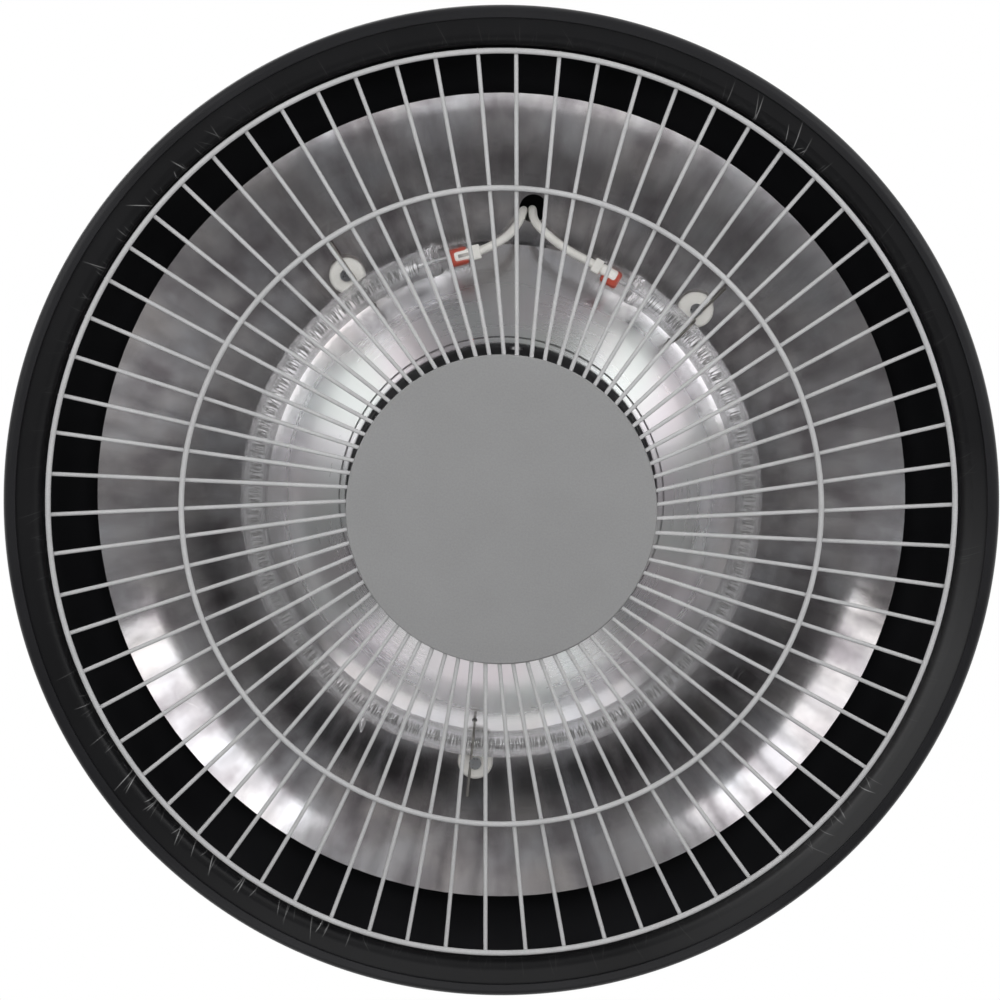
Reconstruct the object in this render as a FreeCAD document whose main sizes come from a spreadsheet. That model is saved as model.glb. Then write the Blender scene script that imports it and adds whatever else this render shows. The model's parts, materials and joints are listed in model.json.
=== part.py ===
import FreeCAD, Part
import math
import os
import re
import Sketcher

# Hanging infrared patio heater: a spun bell shade with a ring-shaped quartz lamp over a wire grille.
# Millimetres. Heights are drawn upwards from the mouth of the shade, and every piece is then lowered
# so that the origin is the point where a hook carries the hanging ring. The lamp's leads are at -Y.

SIZES = (
    ("shade_radius", 212.5, "outer radius of the shade's rim"),
    ("shade_sheet", 1.0, "sheet of the shade"),
    ("hem_roll", 3.5, "round of the shade's hem"),
    ("hem_width", 5.5, "hem turned in under the shade"),
    ("front_sheet", 1.0, "sheet of the front ring"),
    ("front_play", 0.2, "front ring inside the hem"),
    ("lip_width", 16.0, "front ring's lip inside the rim"),
    ("lip_roll", 4.5, "round between the front ring's face and lip"),
    ("lip_rise", 9.0, "height of the front ring's lip"),
    ("skirt_height", 22.0, "straight skirt above the rim"),
    ("shoulder_radius", 75.0, "round shoulder of the bell"),
    ("shoulder_turn", 70.0, "degrees that the shoulder turns"),
    ("seat_radius", 66.0, "flat crown under the neck"),
    ("lead_pass_radius", 6.0, "hole for the lamp leads in the crown"),
    ("lead_pass_offset", 19.0, "lead hole from the axis"),
    ("neck_radius", 58.0, "outer radius of the neck housing"),
    ("neck_height", 70.0, "height of the neck housing"),
    ("neck_sheet", 1.2, "sheet of the neck housing"),
    ("neck_flat", 56.0, "switch flat from the axis"),
    ("neck_flange", 8.0, "flanges turned in at the neck's two ends"),
    ("vent_width", 3.5, "width of a vent slot"),
    ("vent_height", 8.0, "height of a vent slot"),
    ("vent_drop", 18.0, "top of the neck to the foot of the vents"),
    ("vent_count", 36, "vent slots round the neck"),
    ("screw_radius", 2.0, "neck screw"),
    ("screw_head", 3.6, "head radius of a neck screw"),
    ("screw_head_height", 2.4, "head height of a neck screw"),
    ("screw_length", 6.0, "neck screw under its head"),
    ("cap_sheet", 1.2, "sheet of the top cap"),
    ("cap_gap", 0.4, "cap skirt to neck"),
    ("cap_drop", 10.0, "cap skirt below the seal"),
    ("seal_thickness", 4.0, "rubber seal on the neck"),
    ("rod_radius", 4.0, "threaded centre rod"),
    ("hole_clearance", 0.2, "clearance hole round a rod or screw"),
    ("thread_clearance", 0.05, "thread flanks, nut to rod"),
    ("nut_across", 13.0, "nut across flats"),
    ("nut_height", 6.5, "nut height"),
    ("washer_radius", 12.0, "washer outer radius"),
    ("washer_thickness", 1.6, "washer thickness"),
    ("eye_rise", 22.0, "eye above its foot"),
    ("eye_radius", 12.0, "outer radius of the eye"),
    ("eye_width", 10.0, "width of the eye along its bore"),
    ("eye_collar", 10.0, "radius of the eye's foot"),
    ("eye_thread", 11.0, "thread depth in the eye's foot"),
    ("ring_wire", 6.0, "hanging ring wire"),
    ("ring_play", 0.08, "ring bar in the eye, radial"),
    ("ring_width", 34.0, "hanging ring between wire centres"),
    ("ring_rise", 34.0, "eye axis to the underside of the bow"),
    ("ring_corner", 6.0, "ring corner at wire centre"),
    ("gland_room", 1.2, "gland corner to the neck's flange"),
    ("gland_across", 22.0, "gland hexagons across flats"),
    ("gland_stem", 8.0, "gland thread radius"),
    ("gland_flange", 5.0, "gland hexagon height"),
    ("gland_collar", 9.0, "gland thread above its hexagon"),
    ("gland_tail", 8.0, "gland thread below the cap"),
    ("gland_throat", 5.5, "plain bore of the gland"),
    ("gland_locknut_height", 4.0, "locknut under the cap"),
    ("gland_dome", 5.0, "dome on the gland nut"),
    ("bush_radius", 6.5, "rubber bush outer radius"),
    ("bush_bore", 4.0, "bush bore for the cable"),
    ("bush_length", 9.0, "bush length"),
    ("bush_seat", 7.0, "bush seat depth in the gland"),
    ("switch_rise", 34.0, "switch centre above the crown"),
    ("bezel_margin", 2.2, "switch bezel past its body"),
    ("bezel_depth", 2.2, "switch bezel thickness"),
    ("switch_wall", 1.6, "wall of the switch body"),
    ("switch_base", 6.0, "contact base behind the rocker"),
    ("switch_gap", 0.2, "panel cut-out round the switch body"),
    ("rocker_width", 17.0, "rocker width"),
    ("rocker_height", 22.0, "rocker height"),
    ("rocker_gap", 0.4, "clearance round the rocker"),
    ("rocker_throw", 9.0, "degrees from middle to either side"),
    ("rocker_inset", 3.0, "pivot behind the panel face"),
    ("rocker_crest", 5.0, "middle of the rocker above its pivot"),
    ("rocker_depth", 5.0, "rocker below its pivot"),
    ("pivot_radius", 1.5, "rocker trunnion"),
    ("pivot_play", 0.06, "trunnion in its hole, radial"),
    ("pivot_depth", 1.1, "trunnion hole in the wall"),
    ("block_width", 32.0, "terminal block width"),
    ("block_depth", 17.0, "terminal block depth"),
    ("block_height", 15.0, "terminal block height"),
    ("block_offset", 36.0, "terminal block centre from the axis"),
    ("pole_pitch", 14.0, "terminal poles, centre to centre"),
    ("pole_rise", 6.5, "wire bores above the crown"),
    ("clamp_radius", 2.2, "terminal screw radius"),
    ("clamp_height", 4.0, "terminal screw height"),
    ("clamp_sink", 1.0, "terminal screw below the block's top"),
    ("fixing_radius", 1.5, "block, holder screw radius"),
    ("fixing_head", 2.75, "block, holder screw head radius"),
    ("fixing_head_height", 2.0, "block, holder screw head height"),
    ("reflector_radius", 179.0, "reflector edge"),
    ("reflector_sheet", 0.8, "reflector sheet"),
    ("reflector_edge", 42.0, "reflector edge above the mouth"),
    ("trough_radius", 115.0, "reflector trough from the axis"),
    ("trough_height", 64.0, "reflector trough above the mouth"),
    ("trough_curve", 40.0, "inner curve of the trough"),
    ("inner_slope", 20.0, "degrees, reflector's inner slope"),
    ("crease_radius", 73.0, "inner crease of the reflector"),
    ("collar_radius", 69.4, "inside of the reflector's collar"),
    ("collar_rise", 8.0, "reflector collar height"),
    ("lead_hole_radius", 6.2, "lead hole in the reflector"),
    ("lead_hole_offset", 130.2, "lead hole from the axis"),
    ("lead_hole_side", 1.6, "lead hole to one side"),
    ("carrier_fit", 0.15, "carrier inside the collar"),
    ("carrier_sheet", 1.0, "carrier sheet"),
    ("carrier_start", 1.0, "carrier's edge above the lip"),
    ("carrier_depth", 26.0, "carrier's floor above the lip"),
    ("rivet_radius", 1.6, "carrier rivet"),
    ("rivet_head", 3.0, "carrier rivet head radius"),
    ("rivet_head_height", 1.2, "carrier rivet head"),
    ("rivet_count", 3, "carrier rivets"),
    ("tube_ring", 110.0, "lamp ring at the tube's middle"),
    ("tube_diameter", 12.0, "quartz tube outside"),
    ("tube_wall", 1.2, "quartz wall"),
    ("tube_height", 45.0, "lamp ring above the mouth"),
    ("tube_turn", 2.5, "degrees, middle of the lamp's gap from -Y"),
    ("gap_half", 22.15, "degrees, half of the gap between pinches"),
    ("pinch_turn", 4.6, "degrees, length of a pinch seal"),
    ("skirt_length", 13.6, "straight tube end past the pinch"),
    ("coil_radius", 3.2, "coil at the middle of its wire"),
    ("coil_wire", 1.0, "coil wire"),
    ("coil_turns", 90, "turns of the coil"),
    ("coil_margin", 1.2, "degrees, coil end to pinch"),
    ("stem_radius", 0.8, "lead-in stem"),
    ("stem_play", 0.05, "lead-in stem in the pinch"),
    ("plug_radius", 2.5, "lead-in plug in the coil"),
    ("plug_turn", 4.0, "degrees, length of the lead-in plug"),
    ("cap_insert", 7.0, "ceramic cap inside the tube"),
    ("cap_radius", 3.3, "ceramic cap inside the tube, radius"),
    ("cap_collar", 4.6, "ceramic collar radius"),
    ("cap_collar_length", 5.0, "ceramic collar length"),
    ("cap_bore_depth", 6.0, "lead bore in the ceramic cap"),
    ("cement_play", 0.05, "cement to its neighbours"),
    ("lead_radius", 1.8, "sleeved lamp lead"),
    ("lead_play", 0.15, "lead in its bore"),
    ("holder_angle", 40.2, "degrees, front tube holders from -Y"),
    ("holder_ring", 121.0, "tube holders from the axis"),
    ("button_radius", 8.0, "ceramic button"),
    ("button_face", 55.5, "button face above the mouth"),
    ("button_round", 1.6, "round edge of the button"),
    ("button_stem", 3.5, "button stem at the reflector"),
    ("button_shoulder", 1.2, "button shoulder below the reflector"),
    ("seat_gap", 0.15, "button stem to reflector"),
    ("clip_wire", 1.2, "holder wire"),
    ("clip_play", 0.3, "holder wire to tube"),
    ("clip_tail", 16.0, "holder wire tail past the button's middle"),
    ("clip_bend", 1.5, "bend of the holder wire"),
    ("clip_hole", 1.1, "wire hole in the reflector"),
    ("clip_end", 3.5, "holder wire above the reflector"),
    ("small_nut_across", 5.5, "holder nut across flats"),
    ("small_nut_height", 2.4, "holder nut height"),
    ("grille_height", 4.2, "spokes above the mouth"),
    ("grille_gap", 3.0, "outer grille ring inside the front ring's lip"),
    ("grille_mid", 136.5, "middle grille ring"),
    ("grille_inner", 58.0, "inner grille ring, behind the disc"),
    ("grille_ring_wire", 2.4, "ring wire"),
    ("grille_spoke_wire", 1.8, "spoke wire"),
    ("weld_sink", 0.15, "set-down of each weld"),
    ("spoke_count", 70, "grille spokes"),
    ("spoke_skew", 6.8, "spokes pass the axis at this distance"),
    ("spoke_phase", -0.46, "degrees, first spoke from -Y"),
    ("spoke_start", 55.0, "spoke's inner end"),
    ("disc_radius", 66.5, "centre disc"),
    ("disc_sheet", 1.2, "disc sheet"),
    ("disc_round", 0.6, "round edge of the disc"),
    ("rod_end_gap", 0.4, "rod's foot to the disc"),
)

doc = FreeCAD.newDocument("patio_heater")
sheet = doc.addObject("Spreadsheet::Sheet", "Sizes")
for row, (alias, number, meaning) in enumerate(SIZES, start=1):
    sheet.set(f"A{row}", meaning)
    sheet.set(f"B{row}", str(number))
    sheet.setAlias(f"B{row}", alias)
doc.recompute()

UP = FreeCAD.Vector(0, 0, 1)
TINY = 1e-6
SWEEP_TOLERANCE = 0.01
nodes = {}


def bound(text):
    """Turn a formula written with size names into one that reads the sheet."""
    return re.sub(r"\b([a-z]+(?:_[a-z]+)+)\b", r"Sizes.\1", text)


def size(text):
    """Give the present value of a size or of a formula of sizes."""
    return float(sheet.evalExpression(bound(text)))


# Levels and radii that several pieces share, as formulas of the sizes
HEM_EDGE = "(shade_radius - hem_width)"
LIP = "(shade_radius - lip_width)"
GRILLE_OUTER = f"({LIP} - grille_gap)"
SHOULDER_MIDDLE = "(shade_radius - shoulder_radius)"
CONE_RADIUS = f"({SHOULDER_MIDDLE} + shoulder_radius * cos(shoulder_turn))"
CONE_HEIGHT = "(skirt_height + shoulder_radius * sin(shoulder_turn))"
CROWN = f"({CONE_HEIGHT} + ({CONE_RADIUS} - seat_radius) / tan(shoulder_turn))"
NECK_TOP = f"({CROWN} + neck_height)"
CAP_TOP = f"({NECK_TOP} + seal_thickness + cap_sheet)"
EYE_FOOT = f"({CAP_TOP} + washer_thickness)"
EYE_AXIS = f"({EYE_FOOT} + eye_rise)"
HANG = f"({EYE_AXIS} + ring_rise)"
ROD_HOLE = "(rod_radius + hole_clearance)"
DISH_RISE = "(trough_height - reflector_edge)"
DISH = f"(((reflector_radius - trough_radius) ^ 2 + {DISH_RISE} ^ 2) / (2 * {DISH_RISE}))"
SLOPE_RADIUS = "(trough_radius - trough_curve * sin(inner_slope))"
SLOPE_HEIGHT = "(trough_height - trough_curve * (1 - cos(inner_slope)))"
LIP_HEIGHT = f"({SLOPE_HEIGHT} - ({SLOPE_RADIUS} - crease_radius) * tan(inner_slope))"
CARRIER_RADIUS = "(collar_radius - carrier_fit)"
CARRIER_FLOOR = f"({LIP_HEIGHT} + carrier_depth)"
SPOKE_RADIUS = "(grille_spoke_wire / 2)"
DISC_BACK = f"(grille_height - {SPOKE_RADIUS})"
RING_DROP = f"({SPOKE_RADIUS} + grille_ring_wire / 2 - weld_sink)"
SWITCH_LEVEL = f"({CROWN} + switch_rise)"
ROCKER_END = "(rocker_crest + rocker_height / 2 * tan(rocker_throw))"
ROCKER_SWEEP = f"({ROCKER_END} * sin(rocker_throw) + rocker_height / 2 * cos(rocker_throw))"
CAVITY_WIDTH = "(rocker_width + 2 * rocker_gap)"
CAVITY_HEIGHT = f"(2 * ({ROCKER_SWEEP} + rocker_gap))"
CAVITY_DEPTH = "(rocker_inset + sqrt(rocker_depth ^ 2 + (rocker_height / 4) ^ 2) + rocker_gap)"
SWITCH_WIDTH = f"({CAVITY_WIDTH} + 2 * switch_wall)"
SWITCH_HEIGHT = f"({CAVITY_HEIGHT} + 2 * switch_wall)"
TUBE_BORE = "(tube_diameter / 2 - tube_wall)"
CLIP_REACH = "(tube_diameter / 2 + clip_play + clip_wire / 2)"
NECK_OPENING = "(neck_radius - neck_flange)"
GLAND_OFFSET = f"({NECK_OPENING} - gland_across / 2 / cos(30) - gland_room)"
SEAT_OUT = "max(0; holder_ring + button_stem - trough_radius)"
SEAT_IN = "max(0; trough_radius - holder_ring + button_stem)"
SEAT_OUT_RISE = f"(sqrt({DISH} ^ 2 - {SEAT_OUT} ^ 2) - {DISH})"
SEAT_IN_RISE = f"(sqrt(trough_curve ^ 2 - {SEAT_IN} ^ 2) - trough_curve)"
BUTTON_SEAT = f"(trough_height + min({SEAT_OUT_RISE}; {SEAT_IN_RISE}) - seat_gap)"


def place(item, x="0", y="0", height="0"):
    """Bind where a piece stands: across, deep and above the mouth."""
    item.setExpression("Placement.Base.x", bound(x))
    item.setExpression("Placement.Base.y", bound(y))
    item.setExpression("Placement.Base.z", bound(f"{height} - {HANG}"))
    return item


def keep(item, label):
    """Name a finished sub-part."""
    item.Label = label
    nodes[label] = item
    return item


def origin_plane(body, role):
    return next(item for item in body.Origin.OriginFeatures if item.Role == role)


def new_sketch(body, role, name):
    sketch = body.newObject("Sketcher::SketchObject", name)
    sketch.AttachmentSupport = [(origin_plane(body, role), "")]
    sketch.MapMode = "FlatFace"
    return sketch


def pin_point(sketch, geometry, end, across, up):
    """Bind one sketch point to its two coordinates."""
    for kind, text, axis in (("DistanceX", across, -2), ("DistanceY", up, -1)):
        value = size(text)
        if abs(value) < TINY:
            sketch.addConstraint(Sketcher.Constraint("PointOnObject", geometry, end, axis))
            continue
        index = sketch.addConstraint(Sketcher.Constraint(kind, -1, 1, geometry, end, value))
        sketch.setExpression(f"Constraints[{index}]", bound(text))


def arc_between(start, end, radius, side):
    """Make the short arc from start to end, its middle on the left (1) or the right (-1)."""
    chord = end - start
    reach = math.sqrt(max(radius ** 2 - chord.Length ** 2 / 4, 0.0))
    across = FreeCAD.Vector(-chord.y, chord.x, 0).normalize()
    middle = (start + end) / 2 + across * reach * side
    first, last = (start, end) if side > 0 else (end, start)
    angles = [math.atan2(point.y - middle.y, point.x - middle.x) for point in (first, last)]
    return Part.ArcOfCircle(Part.Circle(middle, UP, radius), *angles)


def outline(body, role, name, corners, arcs=()):
    """Draw a closed outline; arcs maps an edge's number to its radius and the side of its middle."""
    arcs = dict(arcs)
    sketch = new_sketch(body, role, name)
    points = [FreeCAD.Vector(size(across), size(up), 0) for across, up in corners]
    ends = []
    for number, start in enumerate(points):
        end = points[(number + 1) % len(points)]
        if number not in arcs:
            sketch.addGeometry(Part.LineSegment(start, end), False)
            ends.append((1, 2))
            continue
        radius, side = arcs[number]
        sketch.addGeometry(arc_between(start, end, size(radius), side), False)
        ends.append((1, 2) if side > 0 else (2, 1))
    for number, (across, up) in enumerate(corners):
        following = (number + 1) % len(corners)
        joint = Sketcher.Constraint("Coincident", number, ends[number][1], following, ends[following][0])
        sketch.addConstraint(joint)
        pin_point(sketch, number, ends[number][0], across, up)
    for number, (radius, side) in arcs.items():
        index = sketch.addConstraint(Sketcher.Constraint("Radius", number, size(radius)))
        sketch.setExpression(f"Constraints[{index}]", bound(radius))
    return sketch


def turned(label, corners, arcs=()):
    """Turn an outline of radii and heights round the upright axis."""
    body = doc.addObject("PartDesign::Body", label)
    sketch = outline(body, "XZ_Plane", f"{label}_outline", corners, arcs)
    turn = body.newObject("PartDesign::Revolution", f"{label}_turn")
    turn.Profile = sketch
    turn.ReferenceAxis = (sketch, ["V_Axis"])
    turn.Angle = 360
    doc.recompute()
    return body


def pad(body, sketch, name, length):
    feature = body.newObject("PartDesign::Pad", name)
    feature.Profile = sketch
    feature.setExpression("Length", bound(length))
    doc.recompute()
    return feature


def pocket(body, sketch, name, length="", rising=True):
    """Cut a sketch upwards or downwards, by a length or right through, and see that it cuts."""
    before = body.Shape.Volume
    feature = body.newObject("PartDesign::Pocket", name)
    feature.Profile = sketch
    feature.Reversed = rising
    if length:
        feature.setExpression("Length", bound(length))
    else:
        feature.Type = "ThroughAll"
    doc.recompute()
    if body.Shape.Volume >= before:
        raise RuntimeError(f"{name} cuts nothing")
    return feature


def circles(body, name, places):
    """Draw circles of (across, deep, radius) on the mouth's plane."""
    sketch = new_sketch(body, "XY_Plane", name)
    for number, (across, deep, radius) in enumerate(places):
        middle = FreeCAD.Vector(size(across), size(deep), 0)
        sketch.addGeometry(Part.Circle(middle, UP, size(radius)), False)
        pin_point(sketch, number, 3, across, deep)
        index = sketch.addConstraint(Sketcher.Constraint("Radius", number, size(radius)))
        sketch.setExpression(f"Constraints[{index}]", bound(radius))
    return sketch


def polar(body, feature, name, count):
    """Repeat a cut round the upright axis."""
    pattern = body.newObject("PartDesign::PolarPattern", name)
    pattern.Originals = [feature]
    pattern.Axis = (origin_plane(body, "Z_Axis"), [""])
    pattern.Angle = 360
    pattern.setExpression("Occurrences", bound(count))
    body.Tip = pattern
    doc.recompute()


def radial_holes(body, name, height, radius, reach, count):
    """Bore holes outwards from the axis at one height, no further than reach."""
    sketch = new_sketch(body, "XZ_Plane", f"{name}_sketch")
    sketch.addGeometry(Part.Circle(FreeCAD.Vector(0, size(height), 0), UP, size(radius)), False)
    pin_point(sketch, 0, 3, "0", height)
    index = sketch.addConstraint(Sketcher.Constraint("Radius", 0, size(radius)))
    sketch.setExpression(f"Constraints[{index}]", bound(radius))
    polar(body, pocket(body, sketch, name, reach), f"{name}_round", count)


def solid(kind, name, sizes, x="0", y="0", height="0"):
    """Make a primitive with its sizes bound, and stand it in place."""
    item = doc.addObject(kind, name)
    for field, text in sizes.items():
        item.setExpression(field, bound(text))
    return place(item, x, y, height)


def cylinder(name, radius, length, x="0", y="0", height="0"):
    return solid("Part::Cylinder", name, {"Radius": radius, "Height": length}, x, y, height)


def hexagon(name, across, length, x="0", y="0", height="0"):
    sizes = {"Circumradius": f"{across} / 2 / cos(30)", "Height": length}
    item = solid("Part::Prism", name, sizes, x, y, height)
    item.Polygon = 6
    return item


def block(name, width, depth, tall, x, y, height):
    """Make a box centred across and standing from y backwards and from a height upwards."""
    sizes = {"Length": width, "Width": depth, "Height": tall}
    return solid("Part::Box", name, sizes, f"{x} - {width} / 2", y, height)


def along_x(item):
    """Turn an upright cylinder about its foot, to run along X."""
    item.Placement.Rotation = FreeCAD.Rotation(FreeCAD.Vector(0, 1, 0), 90)
    return item


def joined(name, items):
    item = doc.addObject("Part::MultiFuse", name)
    item.Shapes = items
    return item


def cut(name, base, tool):
    item = doc.addObject("Part::Cut", name)
    item.Base = base
    item.Tool = tool
    return item


def group(name, items):
    item = doc.addObject("Part::Compound", name)
    item.Links = items
    return item


def ring_plate(name, outer, inner, thick, height, x="0"):
    """Make a washer, a nut blank's bore or a flat seal."""
    plate = cylinder(f"{name}_plate", outer, thick, x, height=height)
    return cut(name, plate, cylinder(f"{name}_hole", inner, thick, x, height=height))


def nut(name, across, bore, tall, height, x="0"):
    blank = hexagon(f"{name}_blank", across, tall, x, height=height)
    return cut(name, blank, cylinder(f"{name}_bore", bore, tall, x, height=height))


def shaped(label, shape):
    """Keep a shape that no primitive or sketch feature makes, lowered to its place."""
    item = doc.addObject("Part::Feature", label)
    item.Shape = shape
    lowered = FreeCAD.Placement(FreeCAD.Vector(0, 0, -size(HANG)), FreeCAD.Rotation())
    item.Placement = lowered.multiply(shape.Placement)
    return keep(item, label)


# The shade: one spun sheet, hemmed at the rim, with a round shoulder and a flat crown
INNER_SHOULDER = "(shoulder_radius - shade_sheet)"
shade = turned(
    "shade",
    (
        (HEM_EDGE, "0"),
        ("shade_radius - hem_roll", "0"),
        ("shade_radius", "hem_roll"),
        ("shade_radius", "skirt_height"),
        (CONE_RADIUS, CONE_HEIGHT),
        ("seat_radius", CROWN),
        (ROD_HOLE, CROWN),
        (ROD_HOLE, f"{CROWN} - shade_sheet"),
        (
            "seat_radius - shade_sheet * (1 - sin(shoulder_turn)) / cos(shoulder_turn)",
            f"{CROWN} - shade_sheet",
        ),
        (
            f"{SHOULDER_MIDDLE} + {INNER_SHOULDER} * cos(shoulder_turn)",
            f"skirt_height + {INNER_SHOULDER} * sin(shoulder_turn)",
        ),
        ("shade_radius - shade_sheet", "skirt_height"),
        ("shade_radius - shade_sheet", "hem_roll"),
        ("shade_radius - hem_roll", "shade_sheet"),
        (HEM_EDGE, "shade_sheet"),
    ),
    {
        1: ("hem_roll", 1),
        3: ("shoulder_radius", 1),
        9: (INNER_SHOULDER, -1),
        11: ("hem_roll - shade_sheet", -1),
    },
)
NECK_SCREW_RING = "(neck_radius - neck_sheet - screw_head - hole_clearance)"
NECK_SCREW_TURNS = (60, 180, 300)
NECK_SCREWS = [
    (f"{NECK_SCREW_RING} * sin({angle})", f"-{NECK_SCREW_RING} * cos({angle})")
    for angle in NECK_SCREW_TURNS
]
SCREW_HOLE = "screw_radius + hole_clearance"
crown_holes = [("0", "-lead_pass_offset", "lead_pass_radius")]
crown_holes += [(across, deep, SCREW_HOLE) for across, deep in NECK_SCREWS]
crown_holes.append(("0", "-block_offset", "fixing_radius + hole_clearance"))
pocket(shade, circles(shade, "crown_sketch", crown_holes), "crown_holes")
keep(place(shade), "shade")

# The front ring: a flat band caught in the hem, with a lip turned up round the grille
FRONT_EDGE = "(shade_radius - hem_roll - front_play)"
front = turned(
    "front_ring",
    (
        (LIP, "lip_rise"),
        (LIP, "lip_roll"),
        (f"{LIP} + lip_roll", "0"),
        (FRONT_EDGE, "0"),
        (FRONT_EDGE, "front_sheet"),
        (f"{LIP} + lip_roll", "front_sheet"),
        (f"{LIP} + front_sheet", "lip_roll"),
        (f"{LIP} + front_sheet", "lip_rise"),
    ),
    {1: ("lip_roll", 1), 5: ("lip_roll - front_sheet", -1)},
)
keep(place(front, height="shade_sheet"), "front_ring")


# The neck housing: a can flanged at both ends, with a flat for the switch and vents under the cap
def flat_can(body, name, radius, flat):
    """Draw the can's plan: a circle cut off by the switch flat at the front."""
    half = f"sqrt({radius} ^ 2 - {flat} ^ 2)"
    plan = new_sketch(body, "XY_Plane", name)
    reach = size(half)
    front = -size(flat)
    left = FreeCAD.Vector(-reach, front, 0)
    right = FreeCAD.Vector(reach, front, 0)
    plan.addGeometry(Part.LineSegment(left, right), False)
    start = math.atan2(front, reach)
    end = math.atan2(front, -reach) + 2 * math.pi
    circle = Part.Circle(FreeCAD.Vector(0, 0, 0), UP, size(radius))
    plan.addGeometry(Part.ArcOfCircle(circle, start, end), False)
    plan.addConstraint(Sketcher.Constraint("Coincident", 0, 2, 1, 1))
    plan.addConstraint(Sketcher.Constraint("Coincident", 0, 1, 1, 2))
    plan.addConstraint(Sketcher.Constraint("Coincident", 1, 3, -1, 1))
    plan.addConstraint(Sketcher.Constraint("Horizontal", 0))
    index = plan.addConstraint(Sketcher.Constraint("Radius", 1, size(radius)))
    plan.setExpression(f"Constraints[{index}]", bound(radius))
    index = plan.addConstraint(Sketcher.Constraint("DistanceY", -1, 1, 0, 1, front))
    plan.setExpression(f"Constraints[{index}]", bound(f"-{flat}"))
    return plan


neck = doc.addObject("PartDesign::Body", "neck_housing")
pad(neck, flat_can(neck, "neck_plan", "neck_radius", "neck_flat"), "neck_can", "neck_height")
hollow = flat_can(neck, "neck_hollow_plan", "(neck_radius - neck_sheet)", "(neck_flat - neck_sheet)")
hollow.setExpression("AttachmentOffset.Base.z", bound("neck_sheet"))
pocket(neck, hollow, "neck_hollow", "neck_height - 2 * neck_sheet")
pocket(neck, circles(neck, "neck_opening_sketch", [("0", "0", NECK_OPENING)]), "neck_openings")
neck_screw_holes = [(across, deep, SCREW_HOLE) for across, deep in NECK_SCREWS]
neck_screw_sketch = circles(neck, "neck_screw_sketch", neck_screw_holes)
pocket(neck, neck_screw_sketch, "neck_screw_holes", "neck_height / 2")


def upright_window(body, name, half_width, foot, head):
    """Draw an opening in an upright wall, centred across."""
    corners = (
        (f"-{half_width}", foot),
        (half_width, foot),
        (half_width, head),
        (f"-{half_width}", head),
    )
    return outline(body, "XZ_Plane", name, corners)


WINDOW_HALF = f"({SWITCH_WIDTH} / 2 + switch_gap)"
WINDOW_RISE = f"({SWITCH_HEIGHT} / 2 + switch_gap)"
window = upright_window(
    neck, "window_sketch", WINDOW_HALF, f"switch_rise - {WINDOW_RISE}", f"switch_rise + {WINDOW_RISE}"
)
pocket(neck, window, "switch_window")
VENT_FOOT = "(neck_height - vent_drop)"
vent = upright_window(neck, "vent_sketch", "(vent_width / 2)", VENT_FOOT, f"{VENT_FOOT} + vent_height")
polar(neck, pocket(neck, vent, "vent", rising=False), "vents", "vent_count")
keep(place(neck, height=CROWN), "neck_housing")

screws = []
for number, (across, deep) in enumerate(NECK_SCREWS):
    foot = f"({CROWN} + neck_sheet)"
    head = cylinder(f"neck_screw_head_{number}", "screw_head", "screw_head_height", across, deep, foot)
    tip = f"{foot} - screw_length"
    shank = cylinder(f"neck_screw_shank_{number}", "screw_radius", "screw_length", across, deep, tip)
    screws.append(joined(f"neck_screw_{number}", [head, shank]))
keep(group("neck_screws_group", screws), "neck_screws")

# The cap and its seal, pulled down on the neck by the eye nut
CAP_INSIDE = "(neck_radius + cap_gap)"
CAP_OUTSIDE = f"({CAP_INSIDE} + cap_sheet)"
CAP_FOOT = f"({NECK_TOP} - cap_drop)"
cap = turned(
    "top_cap",
    (
        (ROD_HOLE, CAP_TOP),
        (ROD_HOLE, f"{CAP_TOP} - cap_sheet"),
        (f"{CAP_INSIDE} - seal_thickness", f"{CAP_TOP} - cap_sheet"),
        (CAP_INSIDE, NECK_TOP),
        (CAP_INSIDE, CAP_FOOT),
        (CAP_OUTSIDE, CAP_FOOT),
        (CAP_OUTSIDE, NECK_TOP),
        (f"{CAP_INSIDE} - seal_thickness", CAP_TOP),
    ),
    {2: ("seal_thickness", -1), 6: ("seal_thickness + cap_sheet", 1)},
)
gland_hole = circles(cap, "gland_hole_sketch", [(GLAND_OFFSET, "0", "gland_stem + hole_clearance")])
pocket(cap, gland_hole, "gland_hole")
keep(place(cap), "top_cap")
SEAL_INSIDE = f"({NECK_OPENING} + hole_clearance)"
SEAL_OUTSIDE = f"({CAP_INSIDE} - seal_thickness - hole_clearance)"
seal = ring_plate("seal", SEAL_OUTSIDE, SEAL_INSIDE, "seal_thickness", NECK_TOP)
keep(seal, "cap_seal")

# The cable gland in the cap: body, dome nut, rubber bush and locknut
GLAND_TOP = f"({CAP_TOP} + gland_flange + gland_collar)"
gland_blank = joined(
    "gland_blank",
    [
        hexagon("gland_hexagon", "gland_across", "gland_flange", GLAND_OFFSET, height=CAP_TOP),
        cylinder(
            "gland_thread",
            "gland_stem",
            "gland_tail + gland_flange + gland_collar",
            GLAND_OFFSET,
            height=f"{CAP_TOP} - gland_tail",
        ),
    ],
)
gland_passage = joined(
    "gland_passage",
    [
        cylinder(
            "gland_bore",
            "gland_throat",
            "gland_tail + gland_flange + gland_collar",
            GLAND_OFFSET,
            height=f"{CAP_TOP} - gland_tail",
        ),
        cylinder(
            "gland_bush_seat",
            "bush_radius + thread_clearance",
            "bush_seat",
            GLAND_OFFSET,
            height=f"{GLAND_TOP} - bush_seat",
        ),
    ],
)
keep(cut("gland", gland_blank, gland_passage), "cable_gland")
bush_blank = cylinder(
    "bush_blank", "bush_radius", "bush_length", GLAND_OFFSET, height=f"{GLAND_TOP} - bush_seat"
)
bush_hole = cylinder(
    "bush_hole", "bush_bore", "bush_length", GLAND_OFFSET, height=f"{GLAND_TOP} - bush_seat"
)
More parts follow.
